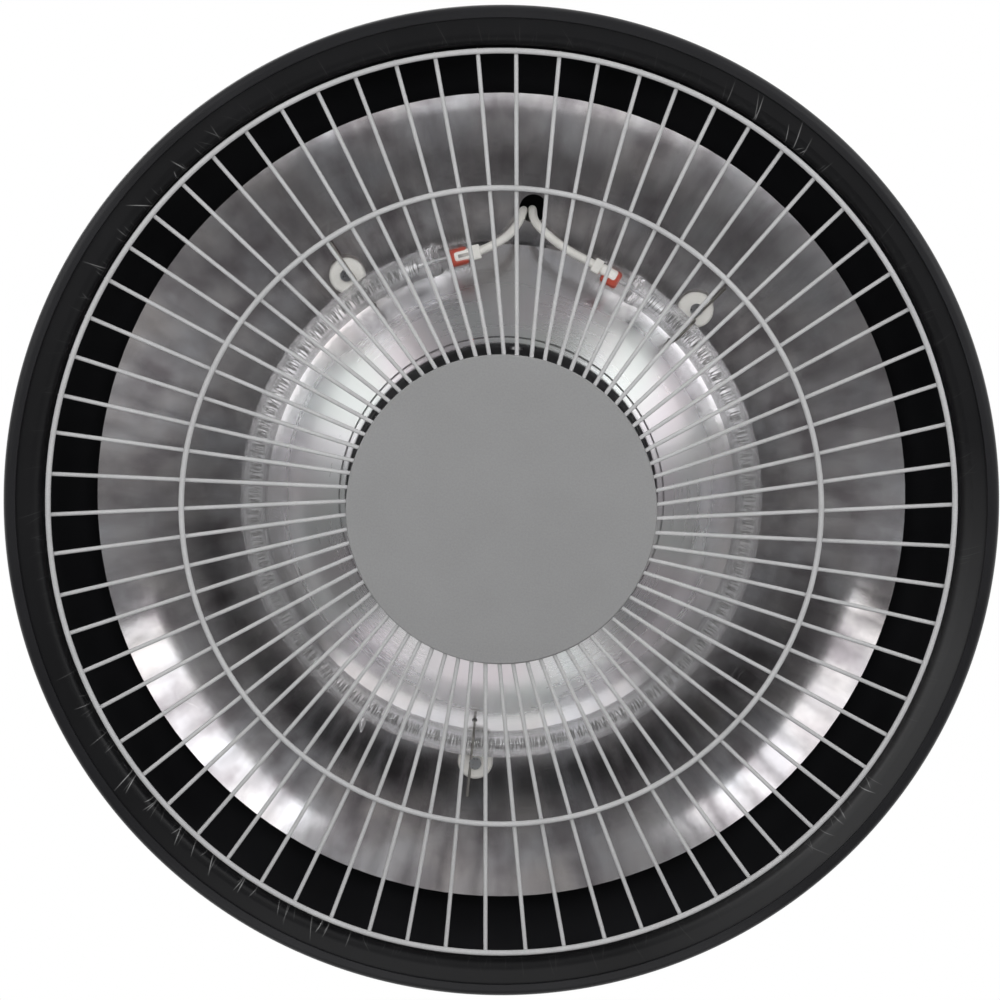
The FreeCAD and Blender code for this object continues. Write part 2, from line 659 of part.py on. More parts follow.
keep(cut("bush", bush_blank, bush_hole), "gland_bush")
NUT_FOOT = f"({CAP_TOP} + gland_flange)"
NUT_INSIDE = "(gland_collar + bush_length - bush_seat)"
nut_skirt = hexagon("gland_nut_skirt", "gland_across", NUT_INSIDE, GLAND_OFFSET, height=NUT_FOOT)
nut_dome = solid(
    "Part::Cone",
    "gland_nut_dome",
    {"Radius1": "gland_across / 2", "Radius2": "bush_radius + hole_clearance", "Height": "gland_dome"},
    GLAND_OFFSET,
    height=f"{NUT_FOOT} + {NUT_INSIDE}",
)
nut_room = cylinder(
    "gland_nut_room", "gland_stem + thread_clearance", NUT_INSIDE, GLAND_OFFSET, height=NUT_FOOT
)
nut_mouth = cylinder(
    "gland_nut_mouth", "gland_throat", f"{NUT_INSIDE} + gland_dome", GLAND_OFFSET, height=NUT_FOOT
)
nut_blank = joined("gland_nut_blank", [nut_skirt, nut_dome])
keep(cut("gland_dome_nut", nut_blank, joined("gland_nut_inside", [nut_room, nut_mouth])), "gland_nut")
LOCKNUT_FOOT = f"({CAP_TOP} - cap_sheet - gland_locknut_height)"
keep(
    nut(
        "locknut",
        "gland_across",
        "gland_stem + thread_clearance",
        "gland_locknut_height",
        LOCKNUT_FOOT,
        GLAND_OFFSET,
    ),
    "gland_locknut",
)

# The centre rod ties the ring's eye, the cap, the neck, the shade, the carrier and the disc together
ROD_FOOT = f"({DISC_BACK} + rod_end_gap)"
ROD_TOP = f"({EYE_FOOT} + eye_thread - rod_end_gap)"
keep(cylinder("rod", "rod_radius", f"{ROD_TOP} - {ROD_FOOT}", height=ROD_FOOT), "centre_rod")
CROWN_UNDER = f"({CROWN} - shade_sheet)"
CARRIER_UNDER = f"({CARRIER_FLOOR} - carrier_sheet)"
WASHER_FEET = (
    CAP_TOP,
    f"{CROWN_UNDER} - washer_thickness",
    CARRIER_FLOOR,
    f"{CARRIER_UNDER} - washer_thickness",
)
NUT_FEET = (
    f"{CROWN_UNDER} - washer_thickness - nut_height",
    f"{CARRIER_FLOOR} + washer_thickness",
    f"{CARRIER_UNDER} - washer_thickness - nut_height",
    f"{DISC_BACK} + nut_height",
)
ROD_THREAD = "(rod_radius + thread_clearance)"
washers = [
    ring_plate(f"washer_{number}", "washer_radius", ROD_HOLE, "washer_thickness", foot)
    for number, foot in enumerate(WASHER_FEET)
]
keep(group("washers", washers), "rod_washers")
nuts = [
    nut(f"rod_nut_{number}", "nut_across", ROD_THREAD, "nut_height", foot)
    for number, foot in enumerate(NUT_FEET)
]
keep(group("nuts", nuts), "rod_nuts")
keep(nut("weld_nut", "nut_across", ROD_THREAD, "nut_height", DISC_BACK), "disc_weld_nut")

# The eye nut and the hanging ring, whose straight bar runs through the eye
EYE_END = "-(eye_width / 2)"
EYE_BORE = "(ring_wire / 2 + ring_play)"
eye_hub = along_x(cylinder("eye_hub", "eye_radius", "eye_width", EYE_END, height=EYE_AXIS))
eye_foot = solid(
    "Part::Cone",
    "eye_foot",
    {"Radius1": "eye_collar", "Radius2": "eye_width / 2", "Height": "eye_rise"},
    height=EYE_FOOT,
)
eye_bore = along_x(cylinder("eye_bore", EYE_BORE, "2 * eye_collar", "-eye_collar", height=EYE_AXIS))
eye_socket = cylinder("eye_socket", ROD_THREAD, "eye_thread", height=EYE_FOOT)
eye_blank = joined("eye_blank", [eye_hub, eye_foot])
keep(cut("eye", eye_blank, joined("eye_holes", [eye_bore, eye_socket])), "eye_nut")


def rounded_route(points, radii):
    """Join points by straight runs, with an arc of the given radius at each inner point."""
    edges = []
    start = points[0]
    for before, corner, after, radius in zip(points, points[1:], points[2:], radii):
        back = (before - corner).normalize()
        ahead = (after - corner).normalize()
        half = back.getAngle(ahead) / 2
        reach = radius / math.tan(half)
        bisector = (back + ahead).normalize()
        middle = corner + bisector * (radius / math.sin(half) - radius)
        first, last = corner + back * reach, corner + ahead * reach
        if (first - start).Length > TINY:
            edges.append(Part.LineSegment(start, first).toShape())
        edges.append(Part.Arc(first, middle, last).toShape())
        start = last
    if (points[-1] - start).Length > TINY:
        edges.append(Part.LineSegment(start, points[-1]).toShape())
    return Part.Wire(edges)


def swept(path, diameter):
    """Sweep a round wire along a path and see that its volume is its section times its length."""
    edge = path.OrderedEdges[0]
    start = edge.valueAt(edge.FirstParameter)
    along = edge.tangentAt(edge.FirstParameter)
    section = Part.Wire([Part.makeCircle(diameter / 2, start, along)])
    wire = path.makePipeShell([section], True, False)
    expected = math.pi * diameter ** 2 / 4 * path.Length
    if abs(wire.Volume - expected) > SWEEP_TOLERANCE * expected:
        raise RuntimeError(f"swept volume {wire.Volume:.2f}, expected {expected:.2f}")
    return wire


ring_half = size("ring_width / 2")
bar_height = size(EYE_AXIS)
bow_middle = size(f"{HANG} + ring_wire / 2 - ring_width / 2")
corner_radius = size("ring_corner")
lower = [
    FreeCAD.Vector(-ring_half, 0, bow_middle),
    FreeCAD.Vector(-ring_half, 0, bar_height),
    FreeCAD.Vector(ring_half, 0, bar_height),
    FreeCAD.Vector(ring_half, 0, bow_middle),
]
bow = Part.Arc(lower[3], FreeCAD.Vector(0, 0, bow_middle + ring_half), lower[0]).toShape()
ring_path = Part.Wire(rounded_route(lower, [corner_radius, corner_radius]).OrderedEdges + [bow])
shaped("hanging_ring", swept(ring_path, size("ring_wire")))

# The rocker switch on the neck's flat: a frame with a bezel, and a rocker on two trunnions
FACE = "(-neck_flat)"
bezel = block(
    "bezel",
    f"({SWITCH_WIDTH} + 2 * bezel_margin)",
    "bezel_depth",
    f"{SWITCH_HEIGHT} + 2 * bezel_margin",
    "0",
    f"{FACE} - bezel_depth",
    f"{SWITCH_LEVEL} - {SWITCH_HEIGHT} / 2 - bezel_margin",
)
switch_body = block(
    "switch_body",
    SWITCH_WIDTH,
    f"{CAVITY_DEPTH} + switch_base",
    SWITCH_HEIGHT,
    "0",
    FACE,
    f"{SWITCH_LEVEL} - {SWITCH_HEIGHT} / 2",
)
cavity = block(
    "rocker_cavity",
    CAVITY_WIDTH,
    f"bezel_depth + {CAVITY_DEPTH}",
    CAVITY_HEIGHT,
    "0",
    f"{FACE} - bezel_depth",
    f"{SWITCH_LEVEL} - {CAVITY_HEIGHT} / 2",
)
PIVOT_DEEP = f"({FACE} + rocker_inset)"
PIVOT_REACH = f"({CAVITY_WIDTH} / 2 + pivot_depth)"
pivot_hole = cylinder(
    "pivot_hole",
    "pivot_radius + pivot_play",
    f"2 * {PIVOT_REACH}",
    f"-{PIVOT_REACH}",
    PIVOT_DEEP,
    SWITCH_LEVEL,
)
switch_room = joined("switch_room", [cavity, along_x(pivot_hole)])
keep(cut("switch_case", joined("switch_blank", [bezel, switch_body]), switch_room), "switch_frame")

rocker = doc.addObject("PartDesign::Body", "switch_rocker")
rocker_side = outline(
    rocker,
    "YZ_Plane",
    "rocker_side",
    (
        (f"-{ROCKER_END}", "rocker_height / 2"),
        ("-rocker_crest", "0"),
        (f"-{ROCKER_END}", "-rocker_height / 2"),
        ("0", "-rocker_height / 2"),
        ("rocker_depth", "-rocker_height / 4"),
        ("rocker_depth", "rocker_height / 4"),
        ("0", "rocker_height / 2"),
    ),
)
pad(rocker, rocker_side, "rocker_pad", "rocker_width").Midplane = True
trunnions = new_sketch(rocker, "YZ_Plane", "trunnion_sketch")
trunnions.addGeometry(Part.Circle(FreeCAD.Vector(0, 0, 0), UP, size("pivot_radius")), False)
trunnions.addConstraint(Sketcher.Constraint("Coincident", 0, 3, -1, 1))
index = trunnions.addConstraint(Sketcher.Constraint("Radius", 0, size("pivot_radius")))
trunnions.setExpression(f"Constraints[{index}]", bound("pivot_radius"))
pad(rocker, trunnions, "trunnion_pad", f"2 * ({PIVOT_REACH} - pivot_play)").Midplane = True
rocker.Placement.Rotation = FreeCAD.Rotation(FreeCAD.Vector(1, 0, 0), size("rocker_throw"))
keep(place(rocker, "0", PIVOT_DEEP, SWITCH_LEVEL), "switch_rocker")

# The terminal block on the crown, with its clamp screws and one fixing screw
BLOCK_FRONT = "(-block_offset - block_depth / 2)"
block_blank = block(
    "block_blank", "block_width", "block_depth", "block_height", "0", BLOCK_FRONT, CROWN
)
POLES = ("(-pole_pitch / 2)", "(pole_pitch / 2)")
CLAMP_DEEP = ("(-block_offset - block_depth / 4)", "(-block_offset + block_depth / 4)")
CLAMP_FOOT = f"({CROWN} + block_height - clamp_sink - clamp_height)"
block_holes = []
clamps = []
for number, pole in enumerate(POLES):
    bore = cylinder(
        f"pole_bore_{number}",
        "lead_radius + lead_play",
        "block_depth",
        pole,
        BLOCK_FRONT,
        f"{CROWN} + pole_rise",
    )
    bore.Placement.Rotation = FreeCAD.Rotation(FreeCAD.Vector(1, 0, 0), -90)
    block_holes.append(bore)
    for side, deep in enumerate(CLAMP_DEEP):
        well = f"clamp_well_{number}_{side}"
        clamp = f"clamp_{number}_{side}"
        well_radius = "clamp_radius + thread_clearance"
        block_holes.append(
            cylinder(well, well_radius, "clamp_height + clamp_sink", pole, deep, CLAMP_FOOT)
        )
        clamps.append(cylinder(clamp, "clamp_radius", "clamp_height", pole, deep, CLAMP_FOOT))
fixing_deep = "(-block_offset)"
block_holes.append(
    cylinder("fixing_hole", "fixing_radius + hole_clearance", "block_height", "0", fixing_deep, CROWN)
)
keep(cut("block", block_blank, joined("block_room", block_holes)), "terminal_block")
keep(group("clamps", clamps), "terminal_screws")
FIXING_LENGTH = "(block_height + shade_sheet + fixing_head_height)"
fixing_head = cylinder(
    "fixing_head", "fixing_head", "fixing_head_height", "0", fixing_deep, f"{CROWN} + block_height"
)
fixing_shank = cylinder(
    "fixing_shank",
    "fixing_radius",
    FIXING_LENGTH,
    "0",
    fixing_deep,
    f"{CROWN} + block_height - {FIXING_LENGTH}",
)
keep(joined("fixing", [fixing_head, fixing_shank]), "block_screw")

# The reflector: an annular dish with a trough over the lamp and a collar round its centre
DISH_LEAN = f"((reflector_radius - trough_radius) / {DISH})"
DISH_UP = f"(({DISH} - {DISH_RISE}) / {DISH})"
reflector = turned(
    "reflector",
    (
        ("reflector_radius", "reflector_edge"),
        ("trough_radius", "trough_height"),
        (SLOPE_RADIUS, SLOPE_HEIGHT),
        ("crease_radius", LIP_HEIGHT),
        ("collar_radius", LIP_HEIGHT),
        ("collar_radius", f"{LIP_HEIGHT} + collar_rise"),
        ("collar_radius + reflector_sheet", f"{LIP_HEIGHT} + collar_rise"),
        ("collar_radius + reflector_sheet", f"{LIP_HEIGHT} + reflector_sheet"),
        ("crease_radius - reflector_sheet * tan(inner_slope / 2)", f"{LIP_HEIGHT} + reflector_sheet"),
        (
            f"{SLOPE_RADIUS} - reflector_sheet * sin(inner_slope)",
            f"{SLOPE_HEIGHT} + reflector_sheet * cos(inner_slope)",
        ),
        ("trough_radius", "trough_height + reflector_sheet"),
        (
            f"reflector_radius + reflector_sheet * {DISH_LEAN}",
            f"reflector_edge + reflector_sheet * {DISH_UP}",
        ),
    ),
    {
        0: (DISH, 1),
        1: ("trough_curve", 1),
        9: ("trough_curve + reflector_sheet", -1),
        10: (f"{DISH} + reflector_sheet", -1),
    },
)
HOLDERS = {"left": "(-holder_angle)", "right": "holder_angle", "rear": "180"}
CLIP_SIDE = "(fixing_radius + clip_wire / 2 + thread_clearance)"
CLIP_INNER = f"(tube_ring - {CLIP_REACH})"


def around(angle, radius, side="0"):
    """Give the across and deep formulas of a point seen from -Y, towards +X, and moved sideways."""
    across = f"({radius} * sin({angle}) + {side} * cos({angle}))"
    deep = f"({side} * sin({angle}) - {radius} * cos({angle}))"
    return across, deep


reflector_holes = [("lead_hole_side", "-lead_hole_offset", "lead_hole_radius")]
for angle in HOLDERS.values():
    reflector_holes.append((*around(angle, "holder_ring"), "fixing_radius + hole_clearance"))
    reflector_holes.append((*around(angle, CLIP_INNER, CLIP_SIDE), "clip_hole"))
pocket(reflector, circles(reflector, "reflector_sketch", reflector_holes), "reflector_holes")
RIVET_HEIGHT = f"({LIP_HEIGHT} + carrier_start + (collar_rise - carrier_start) / 2)"
RIVET_HOLE = "rivet_radius + thread_clearance"
RIVET_REACH = "collar_radius + 2 * reflector_sheet"
radial_holes(reflector, "collar_holes", RIVET_HEIGHT, RIVET_HOLE, RIVET_REACH, "rivet_count")
keep(place(reflector), "reflector")

# The carrier: a pan on the centre rod, riveted inside the reflector's collar
carrier = turned(
    "reflector_carrier",
    (
        (f"{CARRIER_RADIUS} - carrier_sheet", f"{LIP_HEIGHT} + carrier_start"),
        (CARRIER_RADIUS, f"{LIP_HEIGHT} + carrier_start"),
        (CARRIER_RADIUS, CARRIER_FLOOR),
        (ROD_HOLE, CARRIER_FLOOR),
        (ROD_HOLE, CARRIER_UNDER),
        (f"{CARRIER_RADIUS} - carrier_sheet", CARRIER_UNDER),
    ),
)
radial_holes(carrier, "carrier_holes", RIVET_HEIGHT, RIVET_HOLE, RIVET_REACH, "rivet_count")
keep(place(carrier), "reflector_carrier")

CARRIER_INSIDE = f"({CARRIER_RADIUS} - carrier_sheet)"
RIVET_SEAT = f"sqrt({CARRIER_INSIDE} ^ 2 - rivet_head ^ 2)"
rivet_start = size(f"{RIVET_SEAT} - rivet_head_height")
rivet_grip = size(f"collar_radius + reflector_sheet - {RIVET_SEAT}")
rivet_cap = size("rivet_head_height")
inner_head = Part.makeCylinder(size("rivet_head"), rivet_cap)
rivet_shank = Part.makeCylinder(size("rivet_radius"), rivet_grip + 2 * rivet_cap)
outer_head = Part.makeCylinder(size("rivet_head"), rivet_cap, UP * (rivet_cap + rivet_grip))
rivet = inner_head.fuse([rivet_shank, outer_head]).removeSplitter()
rivet.rotate(FreeCAD.Vector(), FreeCAD.Vector(1, 0, 0), 90)
rivet.translate(FreeCAD.Vector(0, -rivet_start, size(RIVET_HEIGHT)))
rivets = []
for number in range(int(size("rivet_count"))):
    turn = 360 / size("rivet_count") * number
    rivets.append(rivet.copy().rotate(FreeCAD.Vector(), UP, turn))
shaped("carrier_rivets", Part.makeCompound(rivets))


# The ring lamp: quartz tube, coil, lead-ins, ceramic caps and cement
def lamp_point(angle, offset=0.0, rise=0.0):
    """Give a point on the lamp ring at an angle from -Y, seen turning towards +X."""
    turn = math.radians(angle)
    radius = size("tube_ring") + offset
    height = size("tube_height") + rise
    return FreeCAD.Vector(radius * math.sin(turn), -radius * math.cos(turn), height)


def ring_piece(radius, start, sweep):
    """Make a round bar of the lamp ring from a starting angle."""
    middle = FreeCAD.Vector(0, 0, size("tube_height"))
    bar = Part.makeTorus(size("tube_ring"), radius, FreeCAD.Vector(), UP, -180, 180, sweep)
    bar.rotate(FreeCAD.Vector(), UP, start - 90)
    bar.translate(middle)
    return bar


FIRST = size("tube_turn + gap_half")
LAST = size("tube_turn - gap_half") + 360
PINCH = size("pinch_turn")
ENDS = {"right": (FIRST, -1), "left": (LAST, 1)}


def tube_end(name):
    """Give the place and direction where a tube end leaves the ring."""
    angle, way = ENDS[name]
    turn = math.radians(angle)
    along = FreeCAD.Vector(math.cos(turn), math.sin(turn), 0) * way
    return lamp_point(angle), along


def end_bar(name, radius, start, length):
    """Make a round bar along a straight tube end, from a distance past the ring."""
    foot, along = tube_end(name)
    return Part.makeCylinder(radius, length, foot + along * start, along)


glass_radius = size("tube_diameter / 2")
bore_radius = size(TUBE_BORE)
skirt = size("skirt_length")
glass = ring_piece(glass_radius, FIRST, LAST - FIRST)
glass = glass.fuse([end_bar(name, glass_radius, 0, skirt) for name in ENDS])
channel = [ring_piece(bore_radius, FIRST + PINCH, LAST - FIRST - 2 * PINCH)]
stem_hole = size("stem_radius + stem_play")
for name, (angle, way) in ENDS.items():
    channel.append(end_bar(name, bore_radius, 0, skirt))
    channel.append(ring_piece(stem_hole, angle if way < 0 else angle - PINCH, PINCH))
shaped("quartz_tube", glass.cut(channel).removeSplitter())

plug = size("plug_turn")
margin = size("coil_margin")
collar_length = size("cap_collar_length")
insert = size("cap_insert")
bore_depth = size("cap_bore_depth")
for name, (angle, way) in ENDS.items():
    inside = angle if way < 0 else angle - PINCH - margin - plug
    stem = ring_piece(size("stem_radius"), inside, PINCH + margin + plug)
    start = angle + PINCH + margin if way < 0 else inside
    stem_plug = ring_piece(size("plug_radius"), start, plug)
    tail = end_bar(name, size("stem_radius"), 0, skirt - insert)
    shaped(f"lead_in_{name}", stem.fuse([stem_plug, tail]).removeSplitter())
    ceramic = end_bar(name, size("cap_radius"), skirt - insert, insert)
    ceramic = ceramic.fuse(end_bar(name, size("cap_collar"), skirt, collar_length))
    bore_foot = skirt + collar_length - bore_depth
    lead_bore = end_bar(name, size("lead_radius + lead_play"), bore_foot, bore_depth)
    stem_bore = end_bar(name, size("stem_radius + stem_play"), skirt - insert, insert)
    ceramic = ceramic.cut([lead_bore, stem_bore]).removeSplitter()
    shaped(f"end_cap_{name}", ceramic)
    play = size("cement_play")
    cement = end_bar(name, bore_radius - play, skirt - insert, insert - play)
    cement = cement.cut(end_bar(name, size("cap_radius") + play, skirt - insert, insert))
    shaped(f"end_cement_{name}", cement)


# The coil: one unbroken wire wound round the lamp ring, each half turn drawn as two arcs
def coil_point(share):
    """Give a point of the coil's wire, from its start at 0 to its end at 1."""
    start = FIRST + PINCH + margin
    sweep = LAST - FIRST - 2 * PINCH - 2 * margin
    wind = 2 * math.pi * size("coil_turns") * share
    radius = size("coil_radius")
    return lamp_point(start + sweep * share, radius * math.cos(wind), radius * math.sin(wind))


def coil_tangent(share):
    step = 1e-5
    return (coil_point(share + step) - coil_point(share - step)).normalize()


def arc_from(start, along, end):
    """Draw the arc that leaves start along a direction and arrives at end."""
    chord = end - start
    across = chord - along * chord.dot(along)
    height = across.Length
    if height < TINY:
        return Part.LineSegment(start, end).toShape()
    across.normalize()
    radius = chord.Length ** 2 / (2 * height)
    middle = start + across * radius
    outward = ((start + end) / 2 - middle).normalize()
    return Part.Arc(start, middle + outward * radius, end).toShape()


def two_arcs(start, leave, end, arrive):
    """Join two points and directions by two arcs that meet smoothly."""
    chord = end - start
    total = leave + arrive
    square = 2 * (1 - leave.dot(arrive))
    linear = chord.dot(total)
    if abs(square) < TINY:
        reach = chord.dot(chord) / (2 * linear)
    else:
        root = math.sqrt(linear ** 2 + square * chord.dot(chord))
        reach = (root - linear) / square
    first = start + leave * reach
    last = end - arrive * reach
    middle = (first + last) / 2
    onward = (last - first).normalize()
    return [arc_from(start, leave, middle), arc_from(middle, onward, end)]


half_turns = int(size("coil_turns")) * 2
coil_edges = []
for number in range(half_turns):
    here, there = number / half_turns, (number + 1) / half_turns
    coil_edges += two_arcs(coil_point(here), coil_tangent(here), coil_point(there), coil_tangent(there))
coil_path = Part.Wire(coil_edges)
turn_points = 24
trail = [coil_point(number / (half_turns / 2 * turn_points)) for number in range(3 * turn_points)]
nearest = min(
    (trail[later] - trail[earlier]).Length
    for earlier in range(turn_points)
    for later in range(earlier + turn_points // 2, len(trail))
)
print(f"coil: least gap to itself {nearest - size('coil_wire'):.2f} mm")
shaped("heating_coil", swept(coil_path, size("coil_wire")))

# The lamp's leads, held from the ceramic caps through the reflector and the crown to the block
LEAD_ROUTES = {
    "left": (
        (-9.5, -115.2, 46.0),
        (-3.8, -123.0, 51.0),
        (-2.2, -130.2, 60.5),
        (-2.4, -129.0, 78.0),
        (-3.4, -114.0, 90.0),
        (-3.4, -94.0, 97.0),
        (-3.2, -72.0, 101.5),
        (-3.0, -50.0, 104.0),
        (-2.6, -30.5, 108.0),
        (-2.3, -20.5, 119.0),
        (-3.4, -19.6, 131.5),
    ),
    "right": (
        (17.5, -113.2, 45.6),
        (8.5, -119.0, 47.6),
        (3.2, -124.5, 52.5),
        (2.0, -131.6, 63.0),
        (1.8, -128.5, 80.0),
        (1.6, -113.0, 91.0),
        (1.8, -93.0, 98.0),
        (2.0, -71.0, 102.5),
        (2.2, -49.5, 105.0),
        (2.3, -30.0, 109.0),
        (2.3, -20.5, 119.5),
        (3.4, -19.6, 131.5),
    ),
}
BEND_SHARE = 0.45


def lead_points(name):
    """List a lead's route, from inside its ceramic cap to inside its terminal."""
    foot, along = tube_end(name)
    start = foot + along * (skirt + collar_length - bore_depth + size("lead_play"))
    straight = foot + along * (skirt + collar_length + size("lead_radius"))
    side = -1 if name == "left" else 1
    pole = FreeCAD.Vector(side * size("pole_pitch / 2"), 0, size(f"{CROWN} + pole_rise"))
    face = FreeCAD.Vector(pole.x, size("-block_offset + block_depth / 2"), pole.z)
    entry = face + FreeCAD.Vector(0, size("lead_radius"), 0)
    end = face - FreeCAD.Vector(0, size("block_depth / 4"), 0)
    route = [FreeCAD.Vector(*point) for point in LEAD_ROUTES[name]]
    return [start, straight, *route, entry, end]


for name in ENDS:
    points = lead_points(name)
    radii = []
    for before, corner, after in zip(points, points[1:], points[2:]):
        turn = (corner - before).getAngle(after - corner)
        shorter = min((corner - before).Length, (after - corner).Length)
        radii.append(BEND_SHARE * shorter / math.tan(turn / 2))
    print(f"lamp lead {name}: radii", *(f"{radius:.0f}" for radius in radii))
    shaped(f"lamp_lead_{name}", swept(rounded_route(points, radii), 2 * size("lead_radius")))

# The tube holders: a ceramic button on the reflector, a screw and nut, and a wire round the tube
BUTTON_TOP = f"({BUTTON_SEAT} - button_face)"
for name, angle in HOLDERS.items():
    button = turned(
        f"tube_insulator_{name}",
        (
            ("fixing_radius + hole_clearance", "0"),
            ("button_radius - button_round", "0"),
            ("button_radius", "button_round"),
            ("button_radius", f"{BUTTON_TOP} - button_shoulder"),
            ("button_stem", f"{BUTTON_TOP} - button_shoulder"),
            ("button_stem", BUTTON_TOP),
            ("fixing_radius + hole_clearance", BUTTON_TOP),
        ),
        {1: ("button_round", 1)},
    )
    keep(place(button, *around(angle, "holder_ring"), "button_face"), f"tube_insulator_{name}")

HEAD_FOOT = "(button_face - clip_wire - thread_clearance - fixing_head_height)"
SMALL_NUT_FOOT = "(trough_height + reflector_sheet + thread_clearance)"
HOLDER_SHANK = f"({SMALL_NUT_FOOT} + small_nut_height + thread_clearance - {HEAD_FOOT})"
holder_screws = []
holder_nuts = []
for name, angle in HOLDERS.items():
    across, deep = around(angle, "holder_ring")
    head = cylinder(f"holder_head_{name}", "fixing_head", "fixing_head_height", across, deep, HEAD_FOOT)
    shank = cylinder(f"holder_shank_{name}", "fixing_radius", HOLDER_SHANK, across, deep, HEAD_FOOT)
    holder_screws.append(joined(f"holder_screw_{name}", [head, shank]))
    blank = hexagon(
        f"holder_nut_blank_{name}", "small_nut_across", "small_nut_height", across, deep, SMALL_NUT_FOOT
    )
    tapped = cylinder(
        f"holder_nut_bore_{name}",
        "fixing_radius + thread_clearance",
        "small_nut_height",
        across,
        deep,
        SMALL_NUT_FOOT,
    )
    holder_nuts.append(cut(f"holder_nut_{name}", blank, tapped))
keep(group("holder_screws", holder_screws), "insulator_screws")
keep(group("holder_nuts", holder_nuts), "insulator_nuts")

wire_level = size("button_face - clip_wire / 2")
reach = size(CLIP_REACH)
ring = size("tube_ring")
level = size("tube_height")
bend = size("clip_bend")
rest = size("holder_ring + clip_tail")
wire_top = size("trough_height + reflector_sheet + clip_end")
side = size(CLIP_SIDE)
tail = [
    FreeCAD.Vector(rest, side, wire_level),
    FreeCAD.Vector(ring + reach, side, wire_level),
    FreeCAD.Vector(ring + reach, side, level),
]
sling = Part.Arc(
    tail[2], FreeCAD.Vector(ring, side, level - reach), FreeCAD.Vector(ring - reach, side, level)
).toShape()
rising = [
    FreeCAD.Vector(ring - reach, side, level),
    FreeCAD.Vector(ring - reach, side, wire_top),
    FreeCAD.Vector(ring - reach - 2 * bend, side, wire_top),
]
clip_edges = rounded_route(tail, [bend]).OrderedEdges + [sling]
clip_edges += rounded_route(rising, [bend]).OrderedEdges
clip = swept(Part.Wire(clip_edges), size("clip_wire"))
for name, angle in HOLDERS.items():
    shaped(f"tube_clip_{name}", clip.copy().rotate(FreeCAD.Vector(), UP, size(angle) - 90))

# The grille: three rings, skewed straight spokes and a plain disc at the centre
RINGS = (
    ("grille_outer_ring", GRILLE_OUTER, f"grille_height - {RING_DROP}"),
    ("grille_mid_ring", "grille_mid", f"grille_height - {RING_DROP}"),
    ("grille_inner_ring", "grille_inner", f"grille_height + {RING_DROP}"),
)
for label, radius, height in RINGS:
    sizes = {"Radius1": radius, "Radius2": "grille_ring_wire / 2"}
    keep(solid("Part::Torus", f"{label}_wire", sizes, height=height), label)

skew = size("spoke_skew")
start = math.sqrt(size("spoke_start") ** 2 - skew ** 2)
end = math.sqrt(size(GRILLE_OUTER) ** 2 - skew ** 2)
spokes = []
count = int(size("spoke_count"))
for number in range(count):
    spoke = Part.makeCylinder(
        size(SPOKE_RADIUS),
        end - start,
        FreeCAD.Vector(skew, -start, size("grille_height")),
        FreeCAD.Vector(0, -1, 0),
    )
    spokes.append(spoke.rotate(FreeCAD.Vector(), UP, size("spoke_phase") + 360 / count * number))
shaped("grille_spokes", Part.makeCompound(spokes))

disc = turned(
    "centre_disc",
    (
        ("0", f"{DISC_BACK} - disc_sheet"),
        ("disc_radius - disc_round", f"{DISC_BACK} - disc_sheet"),
        ("disc_radius", f"{DISC_BACK} - disc_sheet + disc_round"),
        ("disc_radius", DISC_BACK),
        ("0", DISC_BACK),
    ),
    {1: ("disc_round", 1)},
)
keep(place(disc), "centre_disc")

doc.recompute()
for item in doc.Objects:
    if "Invalid" in item.State or "Error" in item.State:
        raise RuntimeError(f"{item.Label} failed: {item.State}")
for label, item in nodes.items():
    if item.Shape.isNull() or not item.Shape.isValid() or not item.Shape.Solids:
        raise RuntimeError(f"{label} has no valid solid")

os.makedirs("parts", exist_ok=True)
for label, item in nodes.items():
    item.Shape.exportStep(f"parts/{label}.step")
print(len(nodes), "sub-parts; hanging point", f"{size(HANG):.2f} mm above the mouth")
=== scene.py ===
# %% [markdown]
# A hanging patio heater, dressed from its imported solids. The solids stay where they are. This lesson
# gives each of them a finish, and makes again in mesh the pieces that need more form than a solid
# has: the welded wire guard, the filament, the quartz tube with its crumpled pinch seals, the lamp's
# ends and its soft sleeved leads.

# %% Load the frame
import json
import math

import bmesh
import bpy
from mathutils import Matrix, Vector


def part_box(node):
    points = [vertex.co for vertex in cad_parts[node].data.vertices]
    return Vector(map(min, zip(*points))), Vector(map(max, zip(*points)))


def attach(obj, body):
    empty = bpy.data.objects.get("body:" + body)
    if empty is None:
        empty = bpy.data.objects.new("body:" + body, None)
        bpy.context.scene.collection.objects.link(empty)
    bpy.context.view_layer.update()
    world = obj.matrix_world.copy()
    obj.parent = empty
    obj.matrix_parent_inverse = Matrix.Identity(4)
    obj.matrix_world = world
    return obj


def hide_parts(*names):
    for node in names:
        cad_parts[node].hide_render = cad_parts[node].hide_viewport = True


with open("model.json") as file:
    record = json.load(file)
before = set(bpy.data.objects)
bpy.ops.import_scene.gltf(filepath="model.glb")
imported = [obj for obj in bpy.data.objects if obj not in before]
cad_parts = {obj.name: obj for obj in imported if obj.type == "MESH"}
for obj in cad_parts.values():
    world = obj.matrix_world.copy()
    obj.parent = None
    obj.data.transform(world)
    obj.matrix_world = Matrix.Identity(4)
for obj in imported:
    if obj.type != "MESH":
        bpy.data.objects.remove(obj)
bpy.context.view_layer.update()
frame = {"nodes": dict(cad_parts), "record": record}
nodes = frame["nodes"]
MM = 0.001
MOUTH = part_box("shade")[0].z
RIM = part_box("shade")[1].x
UP = Vector((0, 0, 1))
print(f"{len(nodes)} nodes, mouth at {MOUTH:.4f} m, rim radius {RIM:.4f} m")


def level(height):
    """Height above the mouth, in millimetres, as a place in the frame."""
    return MOUTH + height * MM


